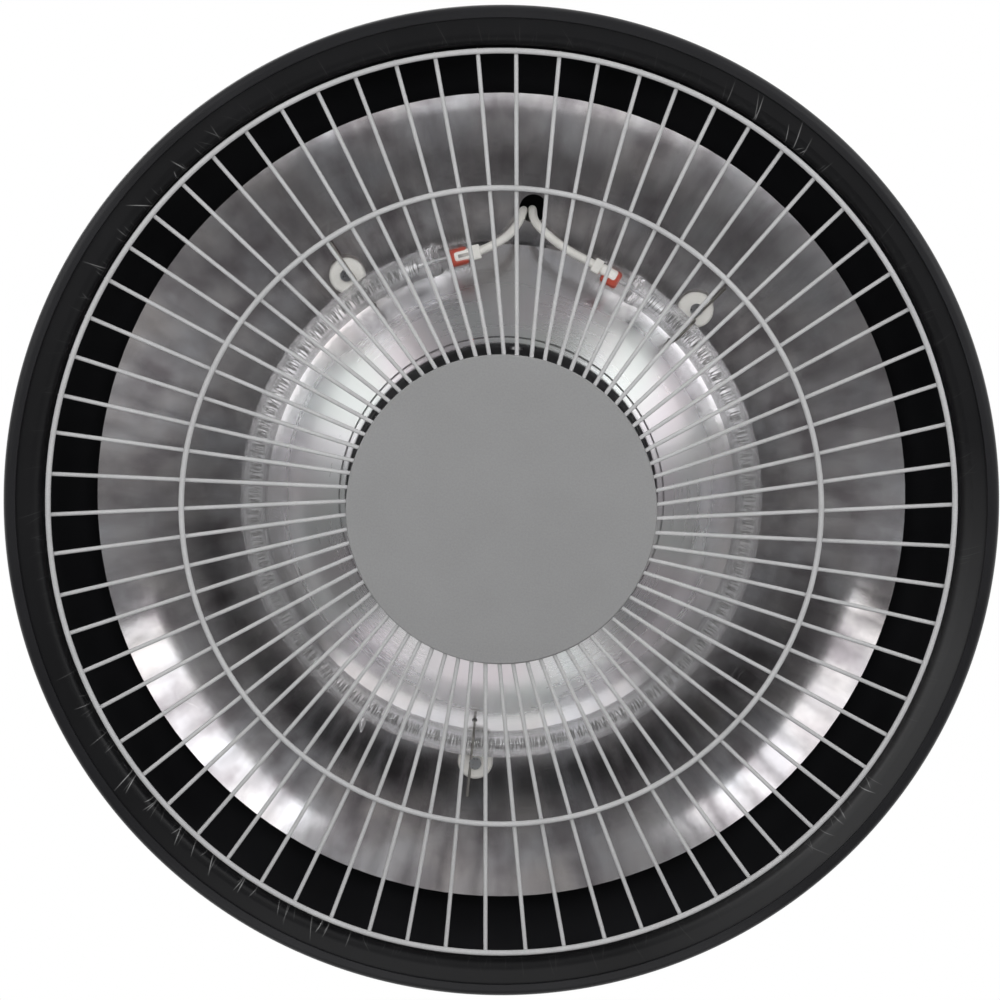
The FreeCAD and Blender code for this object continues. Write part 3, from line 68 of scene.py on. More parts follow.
# %% [markdown]
# The picture is taken from straight below, a little off the axis. The lamp's gap points to -Y, and
# the camera is rolled so that the gap stands a few degrees clockwise of the picture's top. A point
# of the picture is then an angle clockwise from the top, and `seen` turns it into a direction.

# %% Camera
CAMERA_DISTANCE = 1.0
CAMERA_TILT = math.radians(5.68)
CAMERA_ROLL = math.radians(5.6)
SENSOR = 36.0
FOCAL_SHARE = 2.3506
NEAREST = 0.01
AIM_RIGHT, AIM_UP = -0.0006, 0.0047

photo_up = Vector((-math.sin(CAMERA_ROLL), -math.cos(CAMERA_ROLL), 0))
photo_right = Vector((math.cos(CAMERA_ROLL), -math.sin(CAMERA_ROLL), 0))


def seen(angle, outward=1.0):
    """Direction in the mouth's plane at an angle clockwise from the picture's top."""
    turn = math.radians(angle)
    return (photo_up * math.cos(turn) + photo_right * math.sin(turn)) * outward


aim = Vector((0, 0, MOUTH)) + photo_right * AIM_RIGHT + photo_up * AIM_UP
back = (photo_up * math.sin(CAMERA_TILT) - UP * math.cos(CAMERA_TILT)).normalized()
right = photo_up.cross(back).normalized()
camera = bpy.data.objects.new("camera", bpy.data.cameras.new("camera"))
turned_to = Matrix((right, back.cross(right), back)).transposed()
camera.matrix_world = Matrix.Translation(aim + back * CAMERA_DISTANCE) @ turned_to.to_4x4()
camera.data.sensor_width = SENSOR
camera.data.lens = FOCAL_SHARE * SENSOR
camera.data.clip_start = NEAREST
bpy.context.scene.collection.objects.link(camera)
bpy.context.scene.camera = camera
bpy.context.scene.view_settings.view_transform = "Standard"
print("camera at", tuple(round(value, 3) for value in camera.location))

# %% [markdown]
# Light, finishes and repeated shapes are all node trees here. They could be drawn by hand in
# Blender's editors; written down, they can be read and changed. These helpers add one node each and
# give back the socket to go on with, so that a tree reads like a formula.

# %% Node helpers


def node(tree, kind, inputs=None, **settings):
    """Add a node, set its options, and set or link its inputs by name or number."""
    made = tree.nodes.new(kind)
    for name, value in settings.items():
        setattr(made, name, value)
    for name, value in (inputs or {}).items():
        if isinstance(value, bpy.types.NodeSocket):
            tree.links.new(value, made.inputs[name])
        else:
            made.inputs[name].default_value = value
    return made


def calc(tree, operation, *values):
    """Add a Math node and give its result."""
    return node(tree, "ShaderNodeMath", dict(enumerate(values)), operation=operation).outputs[0]


def vector(tree, operation, *values, output=0, **named):
    """Add a Vector Math node and give its result, or the output that is named."""
    inputs = {**dict(enumerate(values)), **named}
    return node(tree, "ShaderNodeVectorMath", inputs, operation=operation).outputs[output]


def combine(tree, x, y, z):
    """Join three values to a vector."""
    return node(tree, "ShaderNodeCombineXYZ", {0: x, 1: y, 2: z}).outputs[0]


def span(tree, value, low, high, start=0.0, end=1.0, **settings):
    """Map a value from start..end to low..high."""
    inputs = {0: value, 1: start, 2: end, 3: low, 4: high}
    return node(tree, "ShaderNodeMapRange", inputs, **settings).outputs[0]


def ramp(tree, value, stops):
    """Add a colour ramp of (place, grey) stops."""
    made = node(tree, "ShaderNodeValToRGB", {0: value})
    elements = made.color_ramp.elements
    while len(elements) < len(stops):
        elements.new(0.5)
    for element, (place, grey) in zip(elements, stops):
        element.position = place
        element.color = (grey, grey, grey, 1.0)
    return made.outputs["Color"]


def mixed(tree, share, first, second):
    """Mix two colours by a share from 0 to 1."""
    made = node(tree, "ShaderNodeMix", data_type="RGBA")
    for socket, value in (("Factor_Float", share), ("A_Color", first), ("B_Color", second)):
        target = next(item for item in made.inputs if item.identifier == socket)
        if isinstance(value, bpy.types.NodeSocket):
            tree.links.new(value, target)
        elif socket == "Factor_Float":
            target.default_value = value
        else:
            target.default_value = (*value, 1.0)
    return next(item for item in made.outputs if item.identifier == "Result_Color")


# %% [markdown]
# The room. Bright metal has hardly a colour of its own: it shows what stands round it. So the room
# is dim below, darkest round the camera, and pale above, with three soft glows at its sides, which
# gives the metal its contrast. A photograph of a room would do the same, but a ramp over the
# direction is plain and can be tuned. To the camera, and through glass, the room is white.

# %% Room
ROOM = ((0.0, 0.03), (0.04, 0.04), (0.146, 0.09), (0.25, 0.11), (0.5, 0.2), (0.58, 0.8), (0.7, 1.0))
GLOWS = {
    190: ((0.5, 0.0), (0.55, 0.11), (0.6, 0.18), (0.7, 0.09), (0.82, 0.03), (0.95, 0.2)),
    60: ((0.6, 0.0), (0.68, 0.09), (0.8, 0.12), (0.93, 0.15)),
    0: ((0.58, 0.0), (0.68, 0.08), (0.8, 0.13), (0.93, 0.15)),
}

world = bpy.data.worlds.new("studio")
bpy.context.scene.world = world
world.use_nodes = True
tree = world.node_tree
tree.nodes.clear()
way = node(tree, "ShaderNodeTexCoord").outputs["Generated"]
height = node(tree, "ShaderNodeSeparateXYZ", {0: way}).outputs["Z"]
room = ramp(tree, calc(tree, "MULTIPLY_ADD", height, 0.5, 0.5), ROOM)
for angle, stops in GLOWS.items():
    facing = vector(tree, "DOT_PRODUCT", way, seen(angle), output="Value")
    glow = ramp(tree, calc(tree, "MULTIPLY_ADD", facing, 0.5, 0.5), stops)
    room = vector(tree, "ADD", room, glow)
path = node(tree, "ShaderNodeLightPath").outputs
direct = calc(tree, "MAXIMUM", path["Is Camera Ray"], path["Is Transmission Ray"])
shown = mixed(tree, direct, room, (1.0, 1.0, 1.0))
air = node(tree, "ShaderNodeBackground", {"Color": shown, "Strength": 1.0})
node(tree, "ShaderNodeOutputWorld", {"Surface": air.outputs[0]})
print(f"room with {len(GLOWS)} glows")

# %% [markdown]
# The lamps. Two soft boxes stand beside the camera, to its upper left and upper right, and the
# mirror-like reflector shows them as the bright bands. A real soft box is brightest in its middle,
# so each is three panels of different size in one place. A weak fill lights the painted parts, a
# white card close to the mouth puts the crescent in the reflector's trough, and a box above lights
# the top of the shade.

# %% Soft boxes
BOX_OUT, BOX_DROP = 0.63, 0.38
BOX_WIDTHS = {58: 0.34, 301: 0.36}
BOX_HEIGHT = 0.46
BOX_GLOW = 13.7
BOX_STEPS = (1.25, 0.95, 0.6)
FILL_OUT, FILL_DROP = 0.2, 1.1
FILL_SIZE = (0.5, 0.5)
FILL_POWER = 5.3
CARD_WAY = 185
CARD_OUT, CARD_DROP = 0.235, 0.09
CARD_SIZE = (0.36, 0.10)
CARD_POWER = 0.1
TOP_BOX_PLACE = Vector((-0.8, -1.0, 1.7))
TOP_BOX_SIZE = (1.6, 1.6)
TOP_BOX_POWER = 19.0
AIM_HEIGHT = 50
heart = Vector((0, 0, level(AIM_HEIGHT)))


def below_mouth(angle, outward, drop):
    """A place under the mouth, at an angle of the picture."""
    return Vector((0, 0, MOUTH - drop)) + seen(angle, outward)


def soft_box(name, place, size, power):
    """Hang a rectangular soft box that faces the heater."""
    light = bpy.data.lights.new(name, "AREA")
    light.shape = "RECTANGLE"
    light.size, light.size_y = size
    light.energy = power
    item = bpy.data.objects.new(name, light)
    item.location = place
    item.rotation_mode = "QUATERNION"
    item.rotation_quaternion = (heart - place).to_track_quat("-Z", "Y")
    item.visible_camera = False
    bpy.context.scene.collection.objects.link(item)
    return item


for angle, width in BOX_WIDTHS.items():
    for share in BOX_STEPS:
        size = (width * share, BOX_HEIGHT * share)
        power = BOX_GLOW * size[0] * size[1] / len(BOX_STEPS)
        soft_box(f"soft_box_{angle}_{share}", below_mouth(angle, BOX_OUT, BOX_DROP), size, power)
fill = soft_box("fill", below_mouth(0, FILL_OUT, FILL_DROP), FILL_SIZE, FILL_POWER)
fill.visible_glossy = False
card = soft_box("white_card", below_mouth(CARD_WAY, CARD_OUT, CARD_DROP), CARD_SIZE, CARD_POWER)
card.visible_diffuse = False
soft_box("top_box", heart + TOP_BOX_PLACE, TOP_BOX_SIZE, TOP_BOX_POWER)
print(f"{len(BOX_WIDTHS)} soft boxes, a fill and a card below, one box above")

# %% [markdown]
# The floor. It is far below the hanging heater and white to the camera, like the room. It is hidden
# from reflections, so that the reflector shows the dim room there and keeps its contrast.

# %% Floor
FLOOR_DROP = 2.1
FLOOR_SIZE = 40.0
FLOOR_GREY, FLOOR_ROUGHNESS = 0.86, 0.9

floor_mesh = bpy.data.meshes.new("floor")
half = FLOOR_SIZE / 2
corners = [(-half, -half), (half, -half), (half, half), (-half, half)]
floor_mesh.from_pydata([(x, y, MOUTH - FLOOR_DROP) for x, y in corners], [], [(0, 1, 2, 3)])
floor = bpy.data.objects.new("floor", floor_mesh)
bpy.context.scene.collection.objects.link(floor)
floor.visible_glossy = False
floor.visible_diffuse = False
floor_material = bpy.data.materials.new("pale_floor")
floor_material.use_nodes = True
tree = floor_material.node_tree
pale = tree.nodes["Principled BSDF"]
pale.inputs["Base Color"].default_value = (FLOOR_GREY, FLOOR_GREY, FLOOR_GREY, 1)
pale.inputs["Roughness"].default_value = FLOOR_ROUGHNESS
white = node(tree, "ShaderNodeEmission", {"Color": (1, 1, 1, 1), "Strength": 1.0}).outputs[0]
to_camera = node(tree, "ShaderNodeLightPath").outputs["Is Camera Ray"]
shown = node(tree, "ShaderNodeMixShader", {0: to_camera, 1: pale.outputs[0], 2: white})
tree.links.new(shown.outputs[0], tree.nodes["Material Output"].inputs["Surface"])
floor_mesh.materials.append(floor_material)
print(f"floor {FLOOR_DROP} m below the mouth")

# %% [markdown]
# Shared effects. Many finishes need the same things, so each of these is a node group that reads a
# place on the piece and puts out values; a finish only chooses sizes. The first is a fine grain with
# broad patches, as every sprayed, moulded or rolled surface has. An image could hold it too, but
# noise has no seams and keeps its real scale on every piece.

# %% Grain
NOISE_MIDDLE = 0.5
PATCH_DETAIL = 4.0


def shader_group(name, inputs, outputs):
    """Start a shader group with named inputs (name: value, or None for a vector) and outputs."""
    tree = bpy.data.node_groups.new(name, "ShaderNodeTree")
    for label, value in inputs.items():
        kind = "NodeSocketVector" if value is None else "NodeSocketFloat"
        socket = tree.interface.new_socket(label, in_out="INPUT", socket_type=kind)
        if value is not None:
            socket.default_value = value
    for label in outputs:
        tree.interface.new_socket(label, in_out="OUTPUT", socket_type="NodeSocketFloat")
    start = tree.nodes.new("NodeGroupInput").outputs
    end = tree.nodes.new("NodeGroupOutput").inputs
    return tree, start, end


def noise(tree, place, scale, detail=2.0):
    """Noise over a place, round its middle value."""
    inputs = {"Vector": place, "Scale": scale, "Detail": detail}
    return node(tree, "ShaderNodeTexNoise", inputs).outputs[0]


grain_group, given, result = shader_group(
    "grain", {"Place": None, "Grain": 1500.0, "Patch": 30.0}, ("Grain", "Patches")
)
tree = grain_group
tree.links.new(noise(tree, given["Place"], given["Grain"]), result["Grain"])
tree.links.new(noise(tree, given["Place"], given["Patch"], PATCH_DETAIL), result["Patches"])
print("shared effect:", grain_group.name)

# %% [markdown]
# Scuffs are thin bent strokes that come in small groups. A line where noise crosses its middle value
# is such a stroke. Coarser noise keeps the strokes only in some places, and finer noise breaks them.

# %% Scuffs
SCUFF_SHIFTS = ((0.0, 0.0, 0.0), (1.7, 0.9, 0.4))
GROUP_SCALE, BREAK_SCALE = 0.55, 14.0
FEWEST, MORE, GROUP_EDGE = 0.78, 0.36, 0.07
STROKE_DETAIL, BREAK_DETAIL = 0.6, 1.0
LEAST_LEFT = 0.25
WEAR_RANGE = (0.35, 0.6)
SMOOTH = {"interpolation_type": "SMOOTHSTEP"}


def brightest(tree, masks):
    """The highest of several masks at each place."""
    best = masks[0]
    for mask in masks[1:]:
        best = calc(tree, "MAXIMUM", best, mask)
    return best


scuff_group, given, result = shader_group(
    "scuffs", {"Place": None, "Scale": 60.0, "Width": 0.02, "Amount": 0.5}, ("Marks",)
)
tree = scuff_group
strokes = []
for shift in SCUFF_SHIFTS:
    shifted = vector(tree, "ADD", given["Place"], shift)
    field = noise(tree, shifted, given["Scale"], STROKE_DETAIL)
    beside = calc(tree, "ABSOLUTE", calc(tree, "SUBTRACT", field, NOISE_MIDDLE))
    strokes.append(span(tree, beside, 1.0, 0.0, 0.0, given["Width"], **SMOOTH))
places = noise(tree, given["Place"], calc(tree, "MULTIPLY", given["Scale"], GROUP_SCALE))
limit = calc(tree, "SUBTRACT", FEWEST, calc(tree, "MULTIPLY", given["Amount"], MORE))
kept = span(tree, places, 0.0, 1.0, limit, calc(tree, "ADD", limit, GROUP_EDGE))
finer = calc(tree, "MULTIPLY", given["Scale"], BREAK_SCALE)
broken = noise(tree, given["Place"], finer, BREAK_DETAIL)
worn = span(tree, broken, LEAST_LEFT, 1.0, *WEAR_RANGE)
marks = calc(tree, "MULTIPLY", brightest(tree, strokes), kept)
tree.links.new(calc(tree, "MULTIPLY", marks, worn), result["Marks"])
print("shared effect:", scuff_group.name)

# %% [markdown]
# Rub marks. Where the guard is pushed in and taken out, its wires leave fine, almost radial strokes
# on the front ring. The ring is divided into as many cells as there are strokes. Each cell throws
# dice for its stroke's place, lean, length and strength, and a place is marked where it lies close
# to the stroke's line.

# %% Rub marks
SEED_STRIDE = 91.7
LINE_ROOM, LINE_FROM = 0.5, 0.25
REACH_ROOM, REACH_FROM = 0.9, 0.25
BRIGHT_ROOM, BRIGHT_FROM = 0.9, 0.05
FULL_SHARE = 0.4


def off_axis(tree, place):
    """A place's x and y, and its distance from the axis."""
    parts = node(tree, "ShaderNodeSeparateXYZ", {0: place}).outputs
    flat = combine(tree, parts[0], parts[1], 0.0)
    return parts[0], parts[1], vector(tree, "LENGTH", flat, output="Value")


rub_sizes = {"Start": 0.1965, "Length": 0.012, "Width": 0.0003, "Lean": 0.5}
rub_group, given, result = shader_group(
    "rub_marks", {"Place": None, "Count": 70.0, "Seed": 0.0, **rub_sizes}, ("Marks",)
)
tree = rub_group
x, y, radius = off_axis(tree, given["Place"])
share = calc(tree, "DIVIDE", calc(tree, "ARCTAN2", x, y), math.tau)
cells = calc(tree, "MULTIPLY", share, given["Count"])
cell = calc(tree, "FLOOR", cells)
seeded = {"W": calc(tree, "MULTIPLY_ADD", given["Seed"], SEED_STRIDE, cell)}
thrown = node(tree, "ShaderNodeTexWhiteNoise", seeded, noise_dimensions="1D").outputs["Color"]
dice = node(tree, "ShaderNodeSeparateColor", {0: thrown}).outputs
rise = calc(tree, "DIVIDE", calc(tree, "SUBTRACT", radius, given["Start"]), given["Length"])
lean = calc(tree, "MULTIPLY", calc(tree, "SUBTRACT", dice[1], 0.5), given["Lean"])
slant = calc(tree, "MULTIPLY", lean, rise)
line = calc(tree, "ADD", calc(tree, "MULTIPLY_ADD", dice[0], LINE_ROOM, LINE_FROM), slant)
beside = calc(tree, "ABSOLUTE", calc(tree, "SUBTRACT", calc(tree, "SUBTRACT", cells, cell), line))
pitch = calc(tree, "DIVIDE", calc(tree, "MULTIPLY", radius, math.tau), given["Count"])
thin = span(tree, calc(tree, "MULTIPLY", beside, pitch), 1.0, 0.0, 0.0, given["Width"])
throw = calc(tree, "MULTIPLY", dice[2], dice[1])
reach = calc(tree, "MULTIPLY_ADD", throw, REACH_ROOM, REACH_FROM)
fade = span(tree, rise, 1.0, 0.0, calc(tree, "MULTIPLY", reach, FULL_SHARE), reach)
throw = calc(tree, "MULTIPLY", dice[2], dice[2])
bright = calc(tree, "MULTIPLY_ADD", throw, BRIGHT_ROOM, BRIGHT_FROM)
marks = calc(tree, "MULTIPLY", calc(tree, "MULTIPLY", thin, fade), bright)
tree.links.new(marks, result["Marks"])
print("shared effect:", rub_group.name)

# %% [markdown]
# Spun rings. The roller that presses sheet metal over a turning form leaves faint rings in it. Noise
# over the distance from the axis alone gives them. The group also puts out that distance, because a
# finish on a turned piece often changes with it.

# %% Spun rings
RING_DETAIL = 3.0

spun_group, given, result = shader_group(
    "spun_rings", {"Place": None, "Spacing": 1.0}, ("Rings", "Radius")
)
tree = spun_group
radius = off_axis(tree, given["Place"])[2]
turns = calc(tree, "DIVIDE", calc(tree, "DIVIDE", radius, MM), given["Spacing"])
inputs = {"W": turns, "Scale": 1.0, "Detail": RING_DETAIL}
rings = node(tree, "ShaderNodeTexNoise", inputs, noise_dimensions="1D").outputs[0]
tree.links.new(rings, result["Rings"])
tree.links.new(radius, result["Radius"])
print("shared effect:", spun_group.name)

# %% [markdown]
# Finishes. Each is a function of its own, which reads Object coordinates so that its pattern keeps
# its real scale on every piece. Numbers that are the same all over a surface sit on the shader; what
# changes over it, such as colour, roughness and bump, comes from the groups above.

# %% Finish helpers
NOISE_LOW, NOISE_HIGH = 0.3, 0.7
FINISH = {}


def finish(name, **sockets):
    """Start a material and set the shader's plain values."""
    material = bpy.data.materials.new(name)
    material.use_nodes = True
    tree = material.node_tree
    shader = tree.nodes["Principled BSDF"]
    for label, value in sockets.items():
        shader.inputs[label.replace("_", " ")].default_value = value
    place = node(tree, "ShaderNodeTexCoord").outputs["Object"]
    return material, tree, shader, place


def effect(tree, group, place, **values):
    """Put a shared effect in a material."""
    made = tree.nodes.new("ShaderNodeGroup")
    made.node_tree = group
    tree.links.new(place, made.inputs["Place"])
    for label, value in values.items():
        made.inputs[label].default_value = value
    return made.outputs


def spread(tree, value, low=0.0, high=1.0):
    """Map the middle range of noise, where nearly all of it lies, to low..high."""
    return span(tree, value, low, high, NOISE_LOW, NOISE_HIGH)


def near(value, steps):
    """The two ends of a range round a value."""
    return [value + step for step in steps]


def bump(tree, shader, height, strength, distance):
    """Shade the surface as if it had a height."""
    inputs = {"Height": height, "Strength": strength, "Distance": distance}
    tree.links.new(node(tree, "ShaderNodeBump", inputs).outputs[0], shader.inputs["Normal"])


def paint(tree, shader, colour=None, roughness=None):
    """Link a colour and a roughness that change over the surface."""
    for value, label in ((colour, "Base Color"), (roughness, "Roughness")):
        if value is not None:
            tree.links.new(value, shader.inputs[label])


# %% [markdown]
# Black coat. The shade, the neck and the front ring are powder coated in satin black, with a trace
# of blue. The front ring alone is touched by hands whenever the guard comes out, so it has rub marks
# near a few knocks. One side of it also has a painted sheen, a lighter grey that stands in for light
# caught there. Both are masks round spots on the rim. Painting them on the mesh would need a texture;
# spots in the material need only an angle and a reach.

# %% Black coat
# The shade's tone, also on the neck and cap, is about twice the front ring's: the lift is painted light
# that brightens the dim inside of the shade.
SHADE_TONE, RIM_TONE = 0.016, 0.0075
COAT_SHARES = ((0.79, 0.79, 0.88), (1.18, 1.18, 1.31))
# The first grey is a painted sheen on one side of the front ring; the other two are rub marks and
# scuffs.
PAINTED_SHEEN_GREY, RUBBED, SCUFFED = (0.055, 0.055, 0.056), (0.42, 0.42, 0.42), (0.16, 0.16, 0.165)
RUB_LAYERS = (
    {"Seed": 1.0},
    {"Seed": 2.0, "Lean": 0.6},
    {"Seed": 3.0, "Length": 0.008, "Width": 0.00035, "Lean": 1.0},
    {"Seed": 5.0, "Length": 0.007, "Count": 140.0, "Lean": 1.1},
)
COAT_ROUGHNESS = (0.36, 0.48)
COAT_PEEL = (0.18, 0.00006)
PAINTED_SHEEN_SHARE, RUBBED_ROUGHER = 0.8, 0.25
KNOCKED, ELSEWHERE = 0.9, 0.06
RUB_RADIUS = 0.201
SPOT_CORE = 0.35
KNOCK_ANGLES = ((229, 0.075), (207, 0.06), (310, 0.055), (36, 0.03), (131, 0.03))
# The spot of painted sheen: round this angle the front ring is lighter, as if a light caught it.
SHEEN_SPOT_ANGLES = ((122, 0.14),)


def near_rim(tree, place, angles):
    """A mask round a few spots of the front ring, each an angle of the picture and a reach."""
    masks = []
    for angle, reach in angles:
        spot = seen(angle, RUB_RADIUS) + Vector((0, 0, MOUTH))
        apart = vector(tree, "DISTANCE", place, spot, output="Value")
        masks.append(span(tree, apart, 1.0, 0.0, reach * SPOT_CORE, reach))
    return brightest(tree, masks)


def black_coat(name, tone, rubbed_with_sheen):
    """Satin black powder coat, rubbed by hands with a painted sheen on one side, or only lightly
    scuffed.
    """
    material, tree, shader, place = finish(name, Specular_IOR_Level=0.3)
    grain = effect(tree, grain_group, place, Grain=1800.0, Patch=22.0)
    low, high = (tuple(tone * share for share in row) for row in COAT_SHARES)
    base = mixed(tree, spread(tree, grain["Patches"]), low, high)
    rough = spread(tree, grain["Grain"], *COAT_ROUGHNESS)
    if rubbed_with_sheen:
        # Painted sheen: one side of the front ring is mixed towards grey, standing in for light caught
        # there.
        painted_sheen = near_rim(tree, place, SHEEN_SPOT_ANGLES)
        base = mixed(tree, calc(tree, "MULTIPLY", painted_sheen, PAINTED_SHEEN_SHARE), base, PAINTED_SHEEN_GREY)
        layers = [effect(tree, rub_group, place, **values)["Marks"] for values in RUB_LAYERS]
        struck = near_rim(tree, place, KNOCK_ANGLES)
        strength = calc(tree, "MULTIPLY_ADD", struck, KNOCKED, ELSEWHERE)
        marks = calc(tree, "MULTIPLY", brightest(tree, layers), strength)
        base = mixed(tree, marks, base, RUBBED)
        rough = calc(tree, "MULTIPLY_ADD", marks, RUBBED_ROUGHER, rough)
    else:
        scuffs = effect(tree, scuff_group, place, Scale=46.0, Width=0.012, Amount=0.12)
        base = mixed(tree, scuffs["Marks"], base, SCUFFED)
    paint(tree, shader, base, rough)
    bump(tree, shader, grain["Grain"], *COAT_PEEL)
    return material


FINISH["black_coat"] = black_coat("black_coat", SHADE_TONE, rubbed_with_sheen=False)
FINISH["rim_coat"] = black_coat("rim_coat", RIM_TONE, rubbed_with_sheen=True)
print(f"black coats with {len(KNOCK_ANGLES)} knocks on the rim")

# %% [markdown]
# Grey coat. The guard's wires and its disc are powder coated in light grey. Up close such a coat has
# orange peel, which is a bump at the grain's scale, and a little dust, which is a change of tone.

# %% Grey coat
DUST = (0.94, 1.04)
GREY_ROUGHER = (-0.06, 0.08)
GREY_PEEL = (0.25, 0.00005)


def grey_coat(name, light, dark, roughness):
    """Light grey powder coat with slight orange peel and a little dust."""
    material, tree, shader, place = finish(name, Specular_IOR_Level=0.4)
    grain = effect(tree, grain_group, place, Grain=1300.0, Patch=45.0)
    tone = mixed(tree, spread(tree, grain["Patches"]), light, dark)
    speck = spread(tree, grain["Grain"], *DUST)
    rough = span(tree, grain["Grain"], *near(roughness, GREY_ROUGHER))
    paint(tree, shader, vector(tree, "SCALE", tone, Scale=speck), rough)
    bump(tree, shader, grain["Grain"], *GREY_PEEL)
    return material


FINISH["wire_coat"] = grey_coat("wire_coat", (0.61, 0.61, 0.615), (0.53, 0.53, 0.535), 0.42)
FINISH["disc_coat"] = grey_coat("disc_coat", (0.325, 0.325, 0.328), (0.31, 0.31, 0.312), 0.5)
print("grey coats on the wires and the disc")

# %% [markdown]
# The reflector is bright rolled aluminium, bent to a cone, a trough under the lamp and a wide dish.
# Its cone has a faint play of colours; its dish is darker in clouds and streaks. All of that follows
# the distance from the axis, so it is one material and not three. The streaks are noise whose places
# are drawn together along the radius, so that its spots grow long that way.

# %% Reflector colour
DISH_START, DISH_FULL = 0.104, 0.125
SHEEN_FULL, SHEEN_END, SHEEN_SHARE = 0.088, 0.108, 0.55
RAY_REACH, RAY_SLOPE = 0.15, 0.3
HAZE_SHARE = 0.6
COOL_METAL, WARM_METAL, HAZED_METAL = (0.80, 0.80, 0.84), (0.79, 0.74, 0.73), (0.72, 0.72, 0.74)
DARK_DISH_METAL = (0.40, 0.37, 0.39)
ROSE_SHEEN, GREEN_SHEEN = (0.86, 0.78, 0.83), (0.78, 0.85, 0.82)
TINT = {"scale": 30.0, "detail": 2.0, "start": 0.35, "end": 0.65}
STREAK = {"scale": 60.0, "detail": 3.0, "start": 0.42, "end": 0.62, "high": 0.45}
CLOUD = {"scale": 42.0, "detail": 3.0, "start": 0.46, "end": 0.66, "high": 0.6}
HUE = {"scale": 21.0, "detail": 1.0, "start": 0.4, "end": 0.62}


def cut_noise(tree, place, scale, detail, start, end, high=1.0):
    """A mask from noise: 0 below start, rising to high at end."""
    return span(tree, noise(tree, place, scale, detail), 0.0, high, start, end)


def reflector_colour(tree, place, haze, radius):
    """Warm and cool metal, darker in rays and clouds on the dish, with a sheen on the cone."""
    base = mixed(tree, cut_noise(tree, place, **TINT), COOL_METAL, WARM_METAL)
    base = mixed(tree, calc(tree, "MULTIPLY", haze, HAZE_SHARE), base, HAZED_METAL)
    stretch = calc(tree, "ADD", calc(tree, "DIVIDE", RAY_REACH, radius), RAY_SLOPE)
    rays = vector(tree, "SCALE", place, Scale=stretch)
    dark_patches = calc(tree, "ADD", cut_noise(tree, rays, **STREAK), cut_noise(tree, place, **CLOUD))
    dish = span(tree, radius, 0.0, 1.0, DISH_START, DISH_FULL)
    base = mixed(tree, calc(tree, "MULTIPLY", dark_patches, dish), base, DARK_DISH_METAL)
    sheen = mixed(tree, cut_noise(tree, place, **HUE), ROSE_SHEEN, GREEN_SHEEN)
    faint = span(tree, radius, SHEEN_SHARE, 0.0, SHEEN_FULL, SHEEN_END)
    return mixed(tree, faint, base, sheen)


print(f"darkening from {DISH_START} m, sheen up to {SHEEN_END} m from the axis")

# %% [markdown]
# Bent sheet is never quite even: slow waves, small dimples and the rings move what it mirrors. The
# relief also keeps the cone's slope going further into the trough, where the real sheet has a sharper
# crease than the solid. Displacing the mesh would need far more faces than a bump.

# %% Reflector relief
TROUGH_CURVE = 0.040
CREASE_START, CREASE_END = 0.1013, 0.1135
SWELL_SCALE, SWELL_DETAIL = 24.0, 1.0
DIMPLE_SCALE, DIMPLE_SHARE = 140.0, 0.06
RING_SHARE = 0.003
WAVE_HEIGHT = 0.0004


def reflector_relief(tree, place, rings, radius):
    """Height of the sheet's waves, dimples and rings, and of the crease under the lamp."""
    swell = noise(tree, place, SWELL_SCALE, SWELL_DETAIL)
    dimples = calc(tree, "MULTIPLY_ADD", noise(tree, place, DIMPLE_SCALE), DIMPLE_SHARE, swell)
    waves = calc(tree, "MULTIPLY_ADD", rings, RING_SHARE, dimples)
    past = span(tree, radius, 0.0, CREASE_END - CREASE_START, CREASE_START, CREASE_END)
    crease = calc(tree, "DIVIDE", calc(tree, "MULTIPLY", past, past), -2 * TROUGH_CURVE)
    return calc(tree, "MULTIPLY_ADD", waves, WAVE_HEIGHT, crease)


print(f"crease from {CREASE_START} to {CREASE_END} m from the axis")

# %% [markdown]
# Put together, the cone is brushed and dull and the dish almost a mirror, so the roughness changes
# with the distance from the axis too. Haze, rings and scratches roughen it a little more.

# %% Reflector metal
CONE_ROUGHNESS, DISH_ROUGHNESS = 0.25, 0.11
DULL_END, MIRROR_START = 0.094, 0.116
HAZE_RANGE = (0.32, 0.68)
HAZE_ROUGHER, SCRATCH_ROUGHER = 0.06, 0.12
RING_ROUGHER = (-0.012, 0.012)
SCRATCH_SHARE = 0.5
SCRATCHED_METAL = (0.92, 0.92, 0.92)


def reflector_metal():
    """Bright rolled aluminium with haze, darker in clouds on the dish, finely ringed, with a few
    scratches.
    """
    material, tree, shader, place = finish("reflector_metal", Metallic=1.0)
    grain = effect(tree, grain_group, place, Grain=900.0, Patch=14.0)
    spun = effect(tree, spun_group, place, Spacing=1.6)
    radius = spun["Radius"]
    scratches = effect(tree, scuff_group, place, Scale=38.0, Width=0.012, Amount=0.34)["Marks"]
    haze = span(tree, grain["Patches"], 0.0, 1.0, *HAZE_RANGE)
    base = reflector_colour(tree, place, haze, radius)
    base = mixed(tree, calc(tree, "MULTIPLY", scratches, SCRATCH_SHARE), base, SCRATCHED_METAL)
    rough = span(tree, radius, CONE_ROUGHNESS, DISH_ROUGHNESS, DULL_END, MIRROR_START)
    rough = calc(tree, "MULTIPLY_ADD", haze, HAZE_ROUGHER, rough)
    rough = calc(tree, "ADD", rough, spread(tree, spun["Rings"], *RING_ROUGHER))
    paint(tree, shader, base, calc(tree, "MULTIPLY_ADD", scratches, SCRATCH_ROUGHER, rough))
    bump(tree, shader, reflector_relief(tree, place, spun["Rings"], radius), 1.0, 1.0)
    return material


FINISH["reflector_aluminium"] = reflector_metal()
print(f"reflector metal, roughness {CONE_ROUGHNESS} on the cone and {DISH_ROUGHNESS} on the dish")

